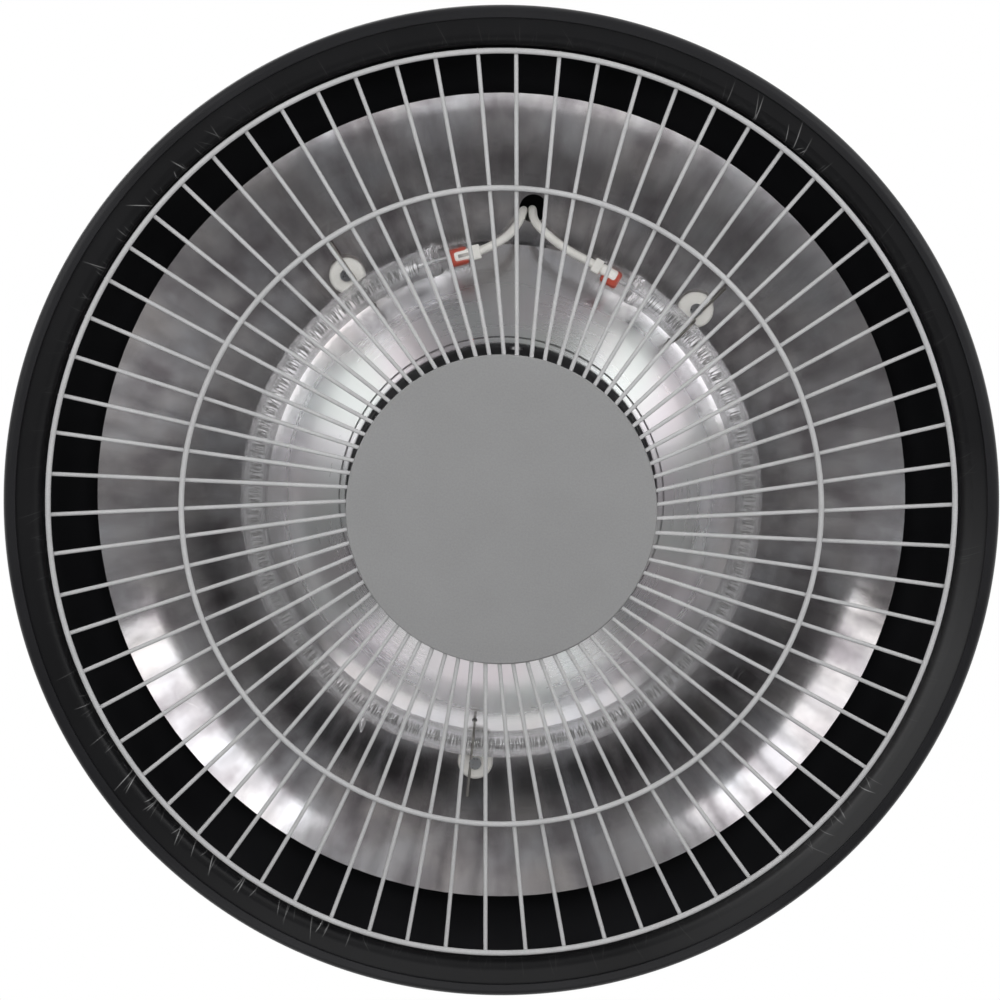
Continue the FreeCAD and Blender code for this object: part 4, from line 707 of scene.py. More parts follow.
# %% [markdown]
# Plain metals and matt surfaces. Plated steel, brass and rivets differ in colour and polish, and
# ceramic, cement, sleeve, plastic and rubber in colour, polish and grain. One function for each kind
# and a table of values says that better than a dozen materials. A row holds the light tone, the dark
# tone and the roughness, and for a matt surface also the grain's scale and its depth.

# %% Plain metals and matt surfaces
METAL_ROUGHER, MATT_ROUGHER = (-0.07, 0.1), (-0.08, 0.08)
METAL_GRAIN = (0.12, 0.00004)
MATT_STRENGTH = 0.3
PALE, PALE_SHADE = (0.93, 0.915, 0.875), (0.86, 0.845, 0.80)
METALS = {
    "zinc_sheet": ((0.36, 0.36, 0.37), (0.24, 0.24, 0.25), 0.42),
    "rivet_aluminium": ((0.78, 0.78, 0.79), (0.66, 0.66, 0.67), 0.32),
    "stem_metal": ((0.90, 0.90, 0.91), (0.80, 0.80, 0.81), 0.6),
    "coil_alloy": ((0.16, 0.155, 0.15), (0.09, 0.085, 0.08), 0.35),
    "holder_wire": ((0.52, 0.50, 0.47), (0.32, 0.30, 0.28), 0.34),
    "zinc_steel": ((0.62, 0.63, 0.65), (0.50, 0.51, 0.53), 0.30),
    "brass_clamp": ((0.70, 0.50, 0.20), (0.55, 0.38, 0.14), 0.32),
}
MATT_SURFACES = {
    "white_ceramic": (PALE, PALE_SHADE, 0.32, 900.0, 0.00004),
    "red_cement": ((0.55, 0.085, 0.05), (0.42, 0.055, 0.033), 0.8, 1600.0, 0.0003),
    "white_sleeve": (PALE, PALE_SHADE, 0.6, 1400.0, 0.0001),
    "black_plastic": ((0.020,) * 3, (0.014,) * 3, 0.5, 1500.0, 0.00008),
    "rocker_plastic": ((0.026,) * 3, (0.020,) * 3, 0.22, 500.0, 0.00002),
    "black_rubber": ((0.016,) * 3, (0.010,) * 3, 0.78, 1100.0, 0.0001),
}


def plain_metal(name, light, dark, roughness):
    """Metal with a soft mottle, for plated steel, brass and plain aluminium."""
    material, tree, shader, place = finish(name, Metallic=1.0)
    grain = effect(tree, grain_group, place, Grain=700.0, Patch=90.0)
    tone = mixed(tree, spread(tree, grain["Patches"]), light, dark)
    paint(tree, shader, tone, spread(tree, grain["Grain"], *near(roughness, METAL_ROUGHER)))
    bump(tree, shader, grain["Grain"], *METAL_GRAIN)
    return material


def matt(name, light, dark, roughness, grain_scale, depth):
    """A plain non-metal with grain: ceramic, cement, sleeve, plastic or rubber."""
    material, tree, shader, place = finish(name, Specular_IOR_Level=0.45)
    grain = effect(tree, grain_group, place, Grain=grain_scale, Patch=160.0)
    tone = mixed(tree, spread(tree, grain["Patches"]), light, dark)
    paint(tree, shader, tone, spread(tree, grain["Grain"], *near(roughness, MATT_ROUGHER)))
    bump(tree, shader, grain["Grain"], MATT_STRENGTH, depth)
    return material


FINISH.update({name: plain_metal(name, *row) for name, row in METALS.items()})
FINISH.update({name: matt(name, *row) for name, row in MATT_SURFACES.items()})
print(f"{len(METALS)} plain metals and {len(MATT_SURFACES)} matt surfaces")

# %% [markdown]
# Quartz glass. The lamp's tube is clear, but a fired tube has a slight bloom, so part of the light
# is scattered. Its pinches are clearer and its open skirts almost vanish against the ceramic. Real
# refraction through such thin walls darkens more than it shows, so a share of each is simply open,
# which the alpha says.

# %% Quartz glass
GLASS = {"quartz": (0.84, 0.6), "clear_quartz": (0.97, 0.75), "thin_quartz": (0.97, 0.15)}
GLASS_TINT = (0.98, 0.98, 0.99, 1.0)
GLASS_IOR = 1.46
BLOOM_RANGE, BLOOM = (0.35, 0.7), 0.03
RIPPLE = (0.05, 0.0002)


def quartz_glass(name, clearness, cover):
    """Fused quartz, thin and clear, with faint ripples from drawing and bending."""
    values = {"IOR": GLASS_IOR, "Transmission_Weight": clearness, "Alpha": cover}
    material, tree, shader, place = finish(name, Base_Color=GLASS_TINT, **values)
    grain = effect(tree, grain_group, place, Grain=260.0, Patch=60.0)
    paint(tree, shader, roughness=span(tree, grain["Patches"], 0.0, BLOOM, *BLOOM_RANGE))
    bump(tree, shader, grain["Grain"], *RIPPLE)
    return material


FINISH.update({name: quartz_glass(name, *row) for name, row in GLASS.items()})
print(f"{len(GLASS)} kinds of quartz")

# %% [markdown]
# The record names a slot for each node, and the slot names its finish. Four nodes have a finish of
# their own: the handled front ring, the duller disc and the two stems in the lamp's pinches.

# %% Put the finishes on
SLOT_FINISH = {"grey_coat": "wire_coat"}
NODE_FINISH = {
    "front_ring": "rim_coat",
    "centre_disc": "disc_coat",
    "lead_in_left": "stem_metal",
    "lead_in_right": "stem_metal",
}
for row in frame["record"]["subparts"]:
    name, slot = row["node"], row["material_slot"]
    coat = NODE_FINISH.get(name, SLOT_FINISH.get(slot, slot))
    nodes[name].data.materials.clear()
    nodes[name].data.materials.append(FINISH[coat])
print(f"{len(FINISH)} finishes on {len(nodes)} nodes")

# %% [markdown]
# Geometry Nodes say the rule of a shape that repeats: here the guard's wires and the coil. Each tree
# is run once on an empty mesh, and its result is kept as a plain mesh, because the export knows no
# instances. Every finished piece, whichever way it was made, is then mounted: it rides on a body, and
# the solids it stands for are hidden.

# %% Geometry node helpers


def geometry_tree(name, inputs):
    """Start a geometry tree with named float or whole-number inputs."""
    tree = bpy.data.node_groups.new(name, "GeometryNodeTree")
    for label, value in inputs.items():
        kind = "NodeSocketInt" if isinstance(value, int) else "NodeSocketFloat"
        tree.interface.new_socket(label, in_out="INPUT", socket_type=kind).default_value = value
    tree.interface.new_socket("Geometry", in_out="OUTPUT", socket_type="NodeSocketGeometry")
    return tree, tree.nodes.new("NodeGroupInput").outputs


def circle(tree, radius, points):
    """A circle to sweep, or to sweep along."""
    inputs = {"Resolution": points, "Radius": radius}
    return node(tree, "GeometryNodeCurvePrimitiveCircle", inputs).outputs[0]


def end_tree(tree, shape, material):
    """End a geometry tree in real mesh with a finish."""
    real = node(tree, "GeometryNodeRealizeInstances", {0: shape})
    smooth = node(tree, "GeometryNodeSetShadeSmooth", {0: real.outputs[0]})
    coated = node(tree, "GeometryNodeSetMaterial", {0: smooth.outputs[0], "Material": material})
    out = tree.nodes.new("NodeGroupOutput")
    tree.links.new(coated.outputs[0], out.inputs[0])


def mounted(piece, body, replaced):
    """Link a finished piece, ride it on its body and hide the solids it stands for."""
    bpy.context.scene.collection.objects.link(piece)
    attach(piece, body)
    if replaced:
        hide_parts(*replaced)
    print(f"{piece.name}: {len(piece.data.polygons)} faces")


def grown(name, tree, values, body, replaced):
    """Run a geometry tree on an empty mesh, keep the result as a plain mesh, and mount it."""
    seed = bpy.data.objects.new(name + "_seed", bpy.data.meshes.new(name + "_seed"))
    bpy.context.scene.collection.objects.link(seed)
    modifier = seed.modifiers.new(name, "NODES")
    modifier.node_group = tree
    for item in tree.interface.items_tree:
        if item.in_out == "INPUT" and item.name in values:
            modifier[item.identifier] = values[item.name]
    depsgraph = bpy.context.evaluated_depsgraph_get()
    mesh = bpy.data.meshes.new_from_object(seed.evaluated_get(depsgraph), depsgraph=depsgraph)
    seed.modifiers.remove(modifier)
    bpy.data.objects.remove(seed)
    mesh.name = name
    mounted(bpy.data.objects.new(name, mesh), body, replaced)


# %% [markdown]
# The guard is a flat wheel of wire: straight spokes, welded to three rings. Where the rings lie is
# read from the solids, so that the finer wires come to rest in the same place.

# %% Guard measures
RING_WIRE = 1.2 * MM
RING_NODES = ("grille_outer_ring", "grille_mid_ring", "grille_inner_ring")
ring_boxes = {name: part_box(name) for name in RING_NODES}
ring_radius = {name: box[1].x - RING_WIRE for name, box in ring_boxes.items()}
ring_level = {name: (box[0].z + box[1].z) / 2 for name, box in ring_boxes.items()}
print("guard rings of radius", [round(radius, 4) for radius in ring_radius.values()])

# %% [markdown]
# The spokes are 70 straight wires, set a little askew. On the real guard every crossing has a small
# swelling where the wires were pressed together and then coated. A loop could place 70 wires, but the
# tree says the rule itself: one wire with its beads, repeated round the axis, each turned by a hair
# so that they don't look cut from one mould.

# %% Spokes
SPOKES = 70
SPOKE_SKEW = 6.8 * MM
SPOKE_PHASE = math.radians(-0.46)
SPOKE_WIRE = 0.9 * MM
SPOKE_START = 55.0 * MM
SPOKE_POINTS, SPOKE_SIDES = 40, 12
SPOKE_STRAY, STRAY_SEED = 0.0035, 4
GUARD_LEVEL = level(4.2)
WELD_BEAD = (1.25 * MM, 1.45 * MM, 1.25 * MM)
BEAD_FACES = {"Segments": 8, "Rings": 6, "Radius": 1.0}


def along_spoke(radius):
    """How far along a skewed spoke it crosses a radius."""
    return math.sqrt(radius ** 2 - SPOKE_SKEW ** 2)


tree, given = geometry_tree(
    "spokes",
    {
        "Count": SPOKES,
        "Skew": SPOKE_SKEW,
        "Start": along_spoke(SPOKE_START),
        "End": along_spoke(ring_radius["grille_outer_ring"]),
        "Level": GUARD_LEVEL,
        "Wire": SPOKE_WIRE,
        "Phase": SPOKE_PHASE,
    },
)
ends = {}
for label in ("Start", "End"):
    forward = calc(tree, "MULTIPLY", given[label], -1.0)
    ends[label] = combine(tree, given["Skew"], forward, given["Level"])
straight = node(tree, "GeometryNodeCurvePrimitiveLine", ends).outputs[0]
pointed = {"Curve": straight, "Count": SPOKE_POINTS}
finer = node(tree, "GeometryNodeResampleCurve", pointed).outputs[0]
swept = {0: finer, 1: circle(tree, given["Wire"], SPOKE_SIDES), "Fill Caps": True}
wire = node(tree, "GeometryNodeCurveToMesh", swept)
shapes = node(tree, "GeometryNodeJoinGeometry")
tree.links.new(wire.outputs[0], shapes.inputs[0])
for name in RING_NODES:
    bead = node(tree, "GeometryNodeMeshUVSphere", BEAD_FACES)
    middle = (SPOKE_SKEW, -along_spoke(ring_radius[name]), (ring_level[name] + GUARD_LEVEL) / 2)
    placed = {0: bead.outputs[0], "Translation": middle, "Scale": WELD_BEAD}
    weld = node(tree, "GeometryNodeTransform", placed)
    tree.links.new(weld.outputs[0], shapes.inputs[0])
spots = node(tree, "GeometryNodePoints", {"Count": given["Count"]})
index = node(tree, "GeometryNodeInputIndex").outputs[0]
step = calc(tree, "DIVIDE", math.tau, given["Count"])
turn = calc(tree, "ADD", calc(tree, "MULTIPLY", index, step), given["Phase"])
copies = {"Points": spots.outputs[0], "Instance": shapes.outputs[0]}
copies["Rotation"] = combine(tree, 0.0, 0.0, turn)
around = node(tree, "GeometryNodeInstanceOnPoints", copies)
drawn = {2: -SPOKE_STRAY, 3: SPOKE_STRAY, "Seed": STRAY_SEED}
stray = node(tree, "FunctionNodeRandomValue", drawn, data_type="FLOAT")
nudged = {"Instances": around.outputs[0], "Rotation": combine(tree, 0.0, 0.0, stray.outputs[1])}
skewed = node(tree, "GeometryNodeRotateInstances", nudged)
end_tree(tree, skewed.outputs[0], FINISH["wire_coat"])
grown("guard_spokes", tree, {}, "heater", ["grille_spokes"])

# %% [markdown]
# The guard's rings are bent from wire, so they are never quite round. One tree draws a circle, lets
# slow noise push it sideways by a fraction of a millimetre and sweeps the wire's section along it.
# A seed for each ring keeps the three apart.

# %% Guard rings
RING_POINTS, RING_SIDES = 240, 14
RING_WAVER = 0.4 * MM
WAVER_SCALE, WAVER_DETAIL = 9.0, 1.0
SEED_STEP = 3.0
FLAT = (1.0, 1.0, 0.0)

tree, given = geometry_tree(
    "guard_ring", {"Radius": 0.1, "Level": 0.0, "Wire": RING_WIRE, "Waver": RING_WAVER, "Seed": 0.0}
)
place = node(tree, "GeometryNodeInputPosition").outputs[0]
inputs = {"Vector": place, "W": given["Seed"], "Scale": WAVER_SCALE, "Detail": WAVER_DETAIL}
sway = node(tree, "ShaderNodeTexNoise", inputs, noise_dimensions="4D").outputs["Color"]
centred = vector(tree, "SUBTRACT", sway, (NOISE_MIDDLE,) * 3)
sideways = vector(tree, "MULTIPLY", centred, FLAT)
offset = vector(tree, "SCALE", sideways, Scale=calc(tree, "MULTIPLY", given["Waver"], 2.0))
bent = {0: circle(tree, given["Radius"], RING_POINTS), "Offset": offset}
moved = node(tree, "GeometryNodeSetPosition", bent).outputs[0]
raised = {0: moved, "Translation": combine(tree, 0.0, 0.0, given["Level"])}
lifted = node(tree, "GeometryNodeTransform", raised).outputs[0]
hoop = node(tree, "GeometryNodeCurveToMesh", {0: lifted, 1: circle(tree, given["Wire"], RING_SIDES)})
end_tree(tree, hoop.outputs[0], FINISH["wire_coat"])
for number, name in enumerate(RING_NODES):
    values = {"Radius": ring_radius[name], "Level": ring_level[name], "Seed": SEED_STEP * number}
    grown("guard_" + name.removeprefix("grille_"), tree, values, "heater", [name])

# %% [markdown]
# The lamp is a ring of quartz tube with a gap, a little turned in the heater. It is measured in
# degrees, from the first end of the ring to the last one, and each end is pinched for a few degrees.

# %% Lamp measures
LAMP_RING = 110.0 * MM
LAMP_LEVEL = level(45)
LAMP_TURN = 2.5
GAP_HALF = 22.15
FIRST, LAST = LAMP_TURN + GAP_HALF, 360 + LAMP_TURN - GAP_HALF
PINCH = 3.9
print(f"lamp from {FIRST:.2f} to {LAST:.2f} degrees")

# %% [markdown]
# The lamp's filament is a fine wire wound into a long spring and threaded through the ring tube;
# heat has let its turns lean and bunch. A Screw modifier would give a perfect spring. The tree writes
# the spring as a formula of each point's number instead, and adds slow noise to the spacing, the lean
# and the width.

# %% Filament
COIL_MARGIN = 1.2
COIL_TURNS, COIL_STEPS = 500, 14
COIL_RADIUS, COIL_WIRE, COIL_SIDES = 2.4 * MM, 0.23 * MM, 5
COIL_UNEVEN, COIL_LEAN, COIL_SWELL = 0.016, 0.011, 0.16
BUNCH_NOISE, LEAN_NOISE, SWELL_NOISE = (11.0, 210.0), (37.0, 170.0), (71.0, 300.0)

tree, given = geometry_tree(
    "filament",
    {
        "Turns": float(COIL_TURNS),
        "Points": COIL_TURNS * COIL_STEPS,
        "Start": math.radians(FIRST + PINCH + COIL_MARGIN),
        "Sweep": math.radians(LAST - FIRST - 2 * (PINCH + COIL_MARGIN)),
        "Ring": LAMP_RING,
        "Level": LAMP_LEVEL,
        "Coil": COIL_RADIUS,
        "Wire": COIL_WIRE,
        "Unevenness": COIL_UNEVEN,
        "Lean": COIL_LEAN,
    },
)
spots = node(tree, "GeometryNodeMeshLine", {"Count": given["Points"]}).outputs[0]
index = node(tree, "GeometryNodeInputIndex").outputs[0]
share = calc(tree, "DIVIDE", index, calc(tree, "SUBTRACT", given["Points"], 1.0))


def slow_noise(tree, share, seed, pace):
    """Noise along the wire, from -1 to 1."""
    inputs = {"W": calc(tree, "MULTIPLY_ADD", share, pace, seed), "Scale": 1.0, "Detail": 1.0}
    made = node(tree, "ShaderNodeTexNoise", inputs, noise_dimensions="1D")
    return calc(tree, "MULTIPLY_ADD", made.outputs[0], 2.0, -1.0)


wind = calc(tree, "MULTIPLY", calc(tree, "MULTIPLY", share, given["Turns"]), math.tau)
bunch = calc(tree, "MULTIPLY", slow_noise(tree, share, *BUNCH_NOISE), given["Unevenness"])
lean = calc(tree, "MULTIPLY", slow_noise(tree, share, *LEAN_NOISE), given["Lean"])
tilt = calc(tree, "MULTIPLY", calc(tree, "SINE", wind), lean)
around = calc(tree, "ADD", calc(tree, "MULTIPLY_ADD", share, given["Sweep"], given["Start"]), bunch)
around = calc(tree, "ADD", around, tilt)
swell = calc(tree, "MULTIPLY_ADD", slow_noise(tree, share, *SWELL_NOISE), COIL_SWELL, 1.0)
wide = calc(tree, "MULTIPLY", given["Coil"], swell)
radius = calc(tree, "MULTIPLY_ADD", calc(tree, "COSINE", wind), wide, given["Ring"])
rise = calc(tree, "MULTIPLY_ADD", calc(tree, "SINE", wind), wide, given["Level"])
across = calc(tree, "MULTIPLY", radius, calc(tree, "SINE", around))
deep = calc(tree, "MULTIPLY", calc(tree, "MULTIPLY", radius, calc(tree, "COSINE", around)), -1.0)
spring = {0: spots, "Position": combine(tree, across, deep, rise)}
wound = node(tree, "GeometryNodeSetPosition", spring)
line = node(tree, "GeometryNodeMeshToCurve", {0: wound.outputs[0]}).outputs[0]
swept = {0: line, 1: circle(tree, given["Wire"], COIL_SIDES), "Fill Caps": True}
wire = node(tree, "GeometryNodeCurveToMesh", swept)
end_tree(tree, wire.outputs[0], FINISH["coil_alloy"])
grown("filament", tree, {}, "heater", ["heating_coil"])

# %% [markdown]
# The quartz tube is a C of glass. Near each end it was heated and pressed flat round the lead-in,
# which leaves a crumpled, lens-like seal, and past the seal a short straight skirt holds the ceramic
# cap. A curve with a bevel could only give one section all the way. So the path is written here as
# stations, each with a place, a sideways direction and how far it is pressed.

# %% Path of the tube
SKIRT = 13.6 * MM
SKIRT_SHARES = (1.0, 0.97, 0.75, 0.5, 0.25)
RING_STATIONS = 300
PINCH_STATIONS = 16
PINCH_LENGTH = LAMP_RING * math.radians(PINCH)
PRESS_POWER = 0.6


def outward_at(angle):
    """Direction from the axis at an angle from -Y towards +X."""
    turn = math.radians(angle)
    return Vector((math.sin(turn), -math.cos(turn), 0))


def lamp_point(angle, outward=0.0):
    """A place on the lamp ring, or beside it."""
    return outward_at(angle) * (LAMP_RING + outward) + Vector((0, 0, LAMP_LEVEL))


def tube_end(name):
    """Where a straight skirt leaves the ring, its direction, and the way outwards there."""
    angle, way = {"right": (FIRST, -1), "left": (LAST, 1)}[name]
    turn = math.radians(angle)
    return lamp_point(angle), Vector((math.cos(turn), math.sin(turn), 0)) * way, outward_at(angle)


def crumple(distance):
    """How far a pinch is pressed at a distance into it: 0 at its two ends, 1 in the middle."""
    share = min(max(distance / PINCH_LENGTH, 0.0), 1.0)
    return math.sin(math.pi * share) ** PRESS_POWER


def skirt_stations(name, shares):
    """Stations of a straight skirt, which isn't pressed."""
    foot, along, outward = tube_end(name)
    return [(foot + along * SKIRT * share, outward, 0.0) for share in shares]


between = LAST - FIRST - 2 * PINCH
angles = [FIRST + PINCH * step / PINCH_STATIONS for step in range(PINCH_STATIONS)]
angles += [FIRST + PINCH + between * step / RING_STATIONS for step in range(RING_STATIONS)]
angles += [LAST - PINCH + PINCH * step / PINCH_STATIONS for step in range(PINCH_STATIONS + 1)]
stations = skirt_stations("right", SKIRT_SHARES)
for angle in angles:
    from_end = math.radians(min(angle - FIRST, LAST - angle)) * LAMP_RING
    stations.append((lamp_point(angle), outward_at(angle), crumple(from_end)))
stations += skirt_stations("left", reversed(SKIRT_SHARES))
print(f"{len(stations)} stations along the tube")

# %% [markdown]
# A ring of vertices stands at each station, and faces join each ring to the next one. A pressed ring
# is flat, wide and folded. Sculpting could crumple a pinch too; two sine waves that turn from station
# to station do it the same way each time.

# %% Rings and skins
TUBE_SIDES = 40
PINCH_HEIGHT, PINCH_SPREAD = 0.42, 1.12
FOLDS = ((0.3, 3, 1), (0.22, 5, -2))
FOLD_STEP = 0.9


def tube_ring(bm, station, radius, press=0.0, seed=0.0):
    """Add one ring of vertices round a station."""
    place, outward, _ = station
    wide = radius * (1 + (PINCH_SPREAD - 1) * press)
    tall = radius * (1 + (PINCH_HEIGHT - 1) * press)
    made = []
    for side in range(TUBE_SIDES):
        turn = math.tau * side / TUBE_SIDES
        fold = 1 + press * sum(deep * math.sin(waves * turn + way * seed) for deep, waves, way in FOLDS)
        across = outward * math.cos(turn) * wide
        made.append(bm.verts.new(place + across + UP * math.sin(turn) * tall * fold))
    return made


def skin(bm, rings, closed_ends=False):
    """Join rings of vertices into a tube, with a cap at each end if asked."""
    for first, second in zip(rings, rings[1:]):
        for side in range(len(first)):
            following = (side + 1) % len(first)
            bm.faces.new((first[side], first[following], second[following], second[side]))
    if closed_ends:
        bm.faces.new(rings[0])
        bm.faces.new(list(reversed(rings[-1])))


def mesh_piece(name, bm, *materials, smooth=True):
    """Turn a bmesh into an object with its finishes."""
    mesh = bpy.data.meshes.new(name)
    bm.to_mesh(mesh)
    bm.free()
    for material in materials:
        mesh.materials.append(material)
    for polygon in mesh.polygons:
        polygon.use_smooth = smooth
    return bpy.data.objects.new(name, mesh)


print(f"rings of {TUBE_SIDES} vertices, pressed to {PINCH_HEIGHT} of their height in a pinch")

# %% [markdown]
# The tube's outer wall runs from end to end, its skirts are open inside, and between the pinches lies
# the chamber with the filament. The chamber's wall is a shell of its own that faces inwards, so that
# the glass between it and the outer wall has its true thickness. A Solidify modifier would give the
# wall too, but it would also hollow the pinches, which are solid glass.

# %% Quartz tube
TUBE_RADIUS = 6.0 * MM
TUBE_BORE = 4.8 * MM

bm = bmesh.new()
outer = []
for number, station in enumerate(stations):
    outer.append(tube_ring(bm, station, TUBE_RADIUS, station[2], number * FOLD_STEP))
skirt_rings = len(SKIRT_SHARES)
inner_right = [tube_ring(bm, station, TUBE_BORE) for station in stations[:skirt_rings]]
inner_left = [tube_ring(bm, station, TUBE_BORE) for station in stations[-skirt_rings:]]
edges = [inner_right[0], outer[0]], [outer[-1], inner_left[-1]]
for rings in (outer, inner_right, inner_left, *edges):
    skin(bm, rings)
bm.faces.new(inner_right[-1])
bm.faces.new(inner_left[0])
wall = set(bm.faces)
start = skirt_rings + PINCH_STATIONS
chamber = [tube_ring(bm, station, TUBE_BORE) for station in stations[start:-start]]
skin(bm, chamber, closed_ends=True)
bmesh.ops.recalc_face_normals(bm, faces=bm.faces)
bmesh.ops.reverse_faces(bm, faces=[face for face in bm.faces if face not in wall])
for face in bm.faces:
    middle = face.calc_center_median()
    angle = math.degrees(math.atan2(middle.x, -middle.y)) % 360
    if not FIRST < angle < LAST:
        face.material_index = list(GLASS).index("thin_quartz")
    elif not FIRST + PINCH < angle < LAST - PINCH:
        face.material_index = list(GLASS).index("clear_quartz")
tube = mesh_piece("quartz_ring_tube", bm, *(FINISH[name] for name in GLASS))
mounted(tube, "heater", ["quartz_tube"])

# %% [markdown]
# The tube was pumped out through a side branch, which was then melted off. What is left is a small
# leaning tip on its outside. It is a short skin over a few rings that grow narrower.

# %% Sealed tip
TIP_ANGLE = 206.9
TIP_LENGTH = 7.5 * MM
TIP_SINK = 0.4 * MM
TIP_SIDES = 16
TIP_OUT, TIP_ASIDE = 0.92, 0.4
TIP_SECTION = ((0, 2.4), (0.15, 1.9), (0.35, 1.5), (0.55, 1.2), (0.75, 0.8), (0.92, 0.45), (1.0, 0.15))

turn = math.radians(TIP_ANGLE)
aside = Vector((-math.cos(turn), -math.sin(turn), 0))
lean = (outward_at(TIP_ANGLE) * TIP_OUT + aside * TIP_ASIDE).normalized()
foot = lamp_point(TIP_ANGLE, TUBE_RADIUS - TIP_SINK)
first = lean.cross(UP).normalized()
second = lean.cross(first)
bm = bmesh.new()
rings = []
for share, radius in TIP_SECTION:
    ring = []
    for side in range(TIP_SIDES):
        angle = math.tau * side / TIP_SIDES
        around = (first * math.cos(angle) + second * math.sin(angle)) * radius * MM
        ring.append(bm.verts.new(foot + lean * TIP_LENGTH * share + around))
    rings.append(ring)
skin(bm, rings, closed_ends=True)
bmesh.ops.recalc_face_normals(bm, faces=bm.faces)
mounted(mesh_piece("tube_tip", bm, FINISH["quartz"]), "heater", [])

# %% [markdown]
# The pieces at the lamp's ends are all rounded blocks along a skirt. A Bevel modifier would round
# them too, but for something so small it is safer to round a block in millimetres and then bring it
# to its place.

# %% Rounded blocks
BLOCK_BEVEL = {"segments": 4, "profile": 0.5, "affect": "EDGES"}


def block(bm, name, reach, half, offset, rounding, rise=0.0):
    """Add a rounded block along a lamp end, from one distance past its foot to another."""
    foot, along, outward = tube_end(name)
    middle = foot + along * sum(reach) / 2 + outward * offset + UP * rise
    halves = ((reach[1] - reach[0]) / 2, *half)
    shape = bmesh.new()
    bmesh.ops.create_cube(shape, size=2.0)
    bmesh.ops.scale(shape, vec=[value / MM for value in halves], verts=shape.verts)
    bmesh.ops.bevel(shape, geom=shape.edges[:], offset=rounding / MM, **BLOCK_BEVEL)
    axes = Matrix((along, UP.cross(along), UP)).transposed()
    for vertex in shape.verts:
        vertex.co = middle + axes @ vertex.co * MM
    mesh = bpy.data.meshes.new("block")
    shape.to_mesh(mesh)
    shape.free()
    bm.from_mesh(mesh)
    bpy.data.meshes.remove(mesh)


print("blocks rounded in", BLOCK_BEVEL["segments"], "steps")

# %% [markdown]
# The lamp's ends. A white ceramic bar with a wider collar stands in each skirt, off its middle, and
# red cement holds it there: the cement lies behind the bar and round its tip, so from below it shows
# as a U.

# %% Lamp ends
BAR_INSIDE, BAR_OVERLAP = 8.0 * MM, 0.6 * MM
BAR_HALF = (2.5 * MM, 2.6 * MM)
BAR_ROUND = 1.5 * MM
COLLAR_START, COLLAR_LENGTH = 0.3 * MM, 4.2 * MM
COLLAR_HALF = (3.2 * MM, 3.0 * MM)
COLLAR_ROUND = 0.5 * MM
CEMENT_INSIDE, CEMENT_OUTSIDE = 9.6 * MM, 1.4 * MM
CEMENT_HALF = (3.9 * MM, 1.6 * MM)
CEMENT_RISE = -0.6 * MM
CEMENT_ROUND = 1.5 * MM
OFF_MIDDLE = {"left": -0.7 * MM, "right": 0.9 * MM}
CEMENT_OFF = {"left": -0.9 * MM, "right": -0.3 * MM}

for name in ("left", "right"):
    offset = OFF_MIDDLE[name]
    bm = bmesh.new()
    reach = (SKIRT - BAR_INSIDE, SKIRT + BAR_OVERLAP)
    block(bm, name, reach, BAR_HALF, offset, BAR_ROUND)
    reach = (SKIRT + COLLAR_START, SKIRT + COLLAR_LENGTH)
    block(bm, name, reach, COLLAR_HALF, offset, COLLAR_ROUND)
    bmesh.ops.recalc_face_normals(bm, faces=bm.faces)
    ceramic = mesh_piece(f"ceramic_end_{name}", bm, FINISH["white_ceramic"], smooth=False)
    mounted(ceramic, "heater", [f"end_cap_{name}"])
    bm = bmesh.new()
    reach = (SKIRT - CEMENT_INSIDE, SKIRT - CEMENT_OUTSIDE)
    block(bm, name, reach, CEMENT_HALF, CEMENT_OFF[name], CEMENT_ROUND, CEMENT_RISE)
    bmesh.ops.recalc_face_normals(bm, faces=bm.faces)
    cement = mesh_piece(f"cement_{name}", bm, FINISH["red_cement"], smooth=False)
    mounted(cement, "heater", [f"end_cement_{name}"])

# %% [markdown]
# A thin metal tag lies half sunk in the underside of the left bar, where the lead joins the lamp.
# It is a block as well, pressed almost flat.

# %% Lead tag
TAG_START, TAG_END = 2.2 * MM, 1.0 * MM
TAG_HALF = (0.75 * MM, 0.2 * MM)
TAG_ROUND = 0.1 * MM

bm = bmesh.new()
reach = (SKIRT - BAR_INSIDE + TAG_START, SKIRT - TAG_END)
block(bm, "left", reach, TAG_HALF, OFF_MIDDLE["left"], TAG_ROUND, -BAR_HALF[1])
mounted(mesh_piece("lead_tag", bm, FINISH["holder_wire"]), "heater", [])

# %% [markdown]
# The reflector's middle opening ends in a bead: past a fine groove the sheet goes on at the cone's
# slope for a few millimetres and then turns up. It catches the light as a second, narrow band round
# the disc. The Spin tool would turn such a section; a loop over the steps does the same, and its last
# ring is the first one again, so no seam is left.

# %% Rolled lip
LIP_STEPS = 180
LIP_SECTION = (
    (73.4, 51.45),
    (73.1, 51.75),
    (72.8, 51.85),
    (72.5, 51.60),
    (72.35, 51.20),
    (72.1, 51.00),
    (71.0, 50.60),
    (70.0, 50.24),
    (69.7, 50.20),
    (69.5, 50.35),
    (69.42, 50.70),
    (69.42, 51.9),
    (73.4, 52.1),
)


def turned(name, section, steps, coat):
    """Turn a closed section of (radius, height above the mouth) in millimetres round the axis."""
    bm = bmesh.new()
    rings = []
    for step in range(steps):
        turn = math.tau * step / steps
        outward = Vector((math.cos(turn), math.sin(turn), 0))
        places = [outward * radius * MM + UP * level(height) for radius, height in section]
        rings.append([bm.verts.new(place) for place in places])
    skin(bm, [*rings, rings[0]])
    bmesh.ops.recalc_face_normals(bm, faces=bm.faces)
    return mesh_piece(name, bm, coat)


lip = turned("reflector_lip", LIP_SECTION, LIP_STEPS, FINISH["reflector_aluminium"])
mounted(lip, "heater", [])

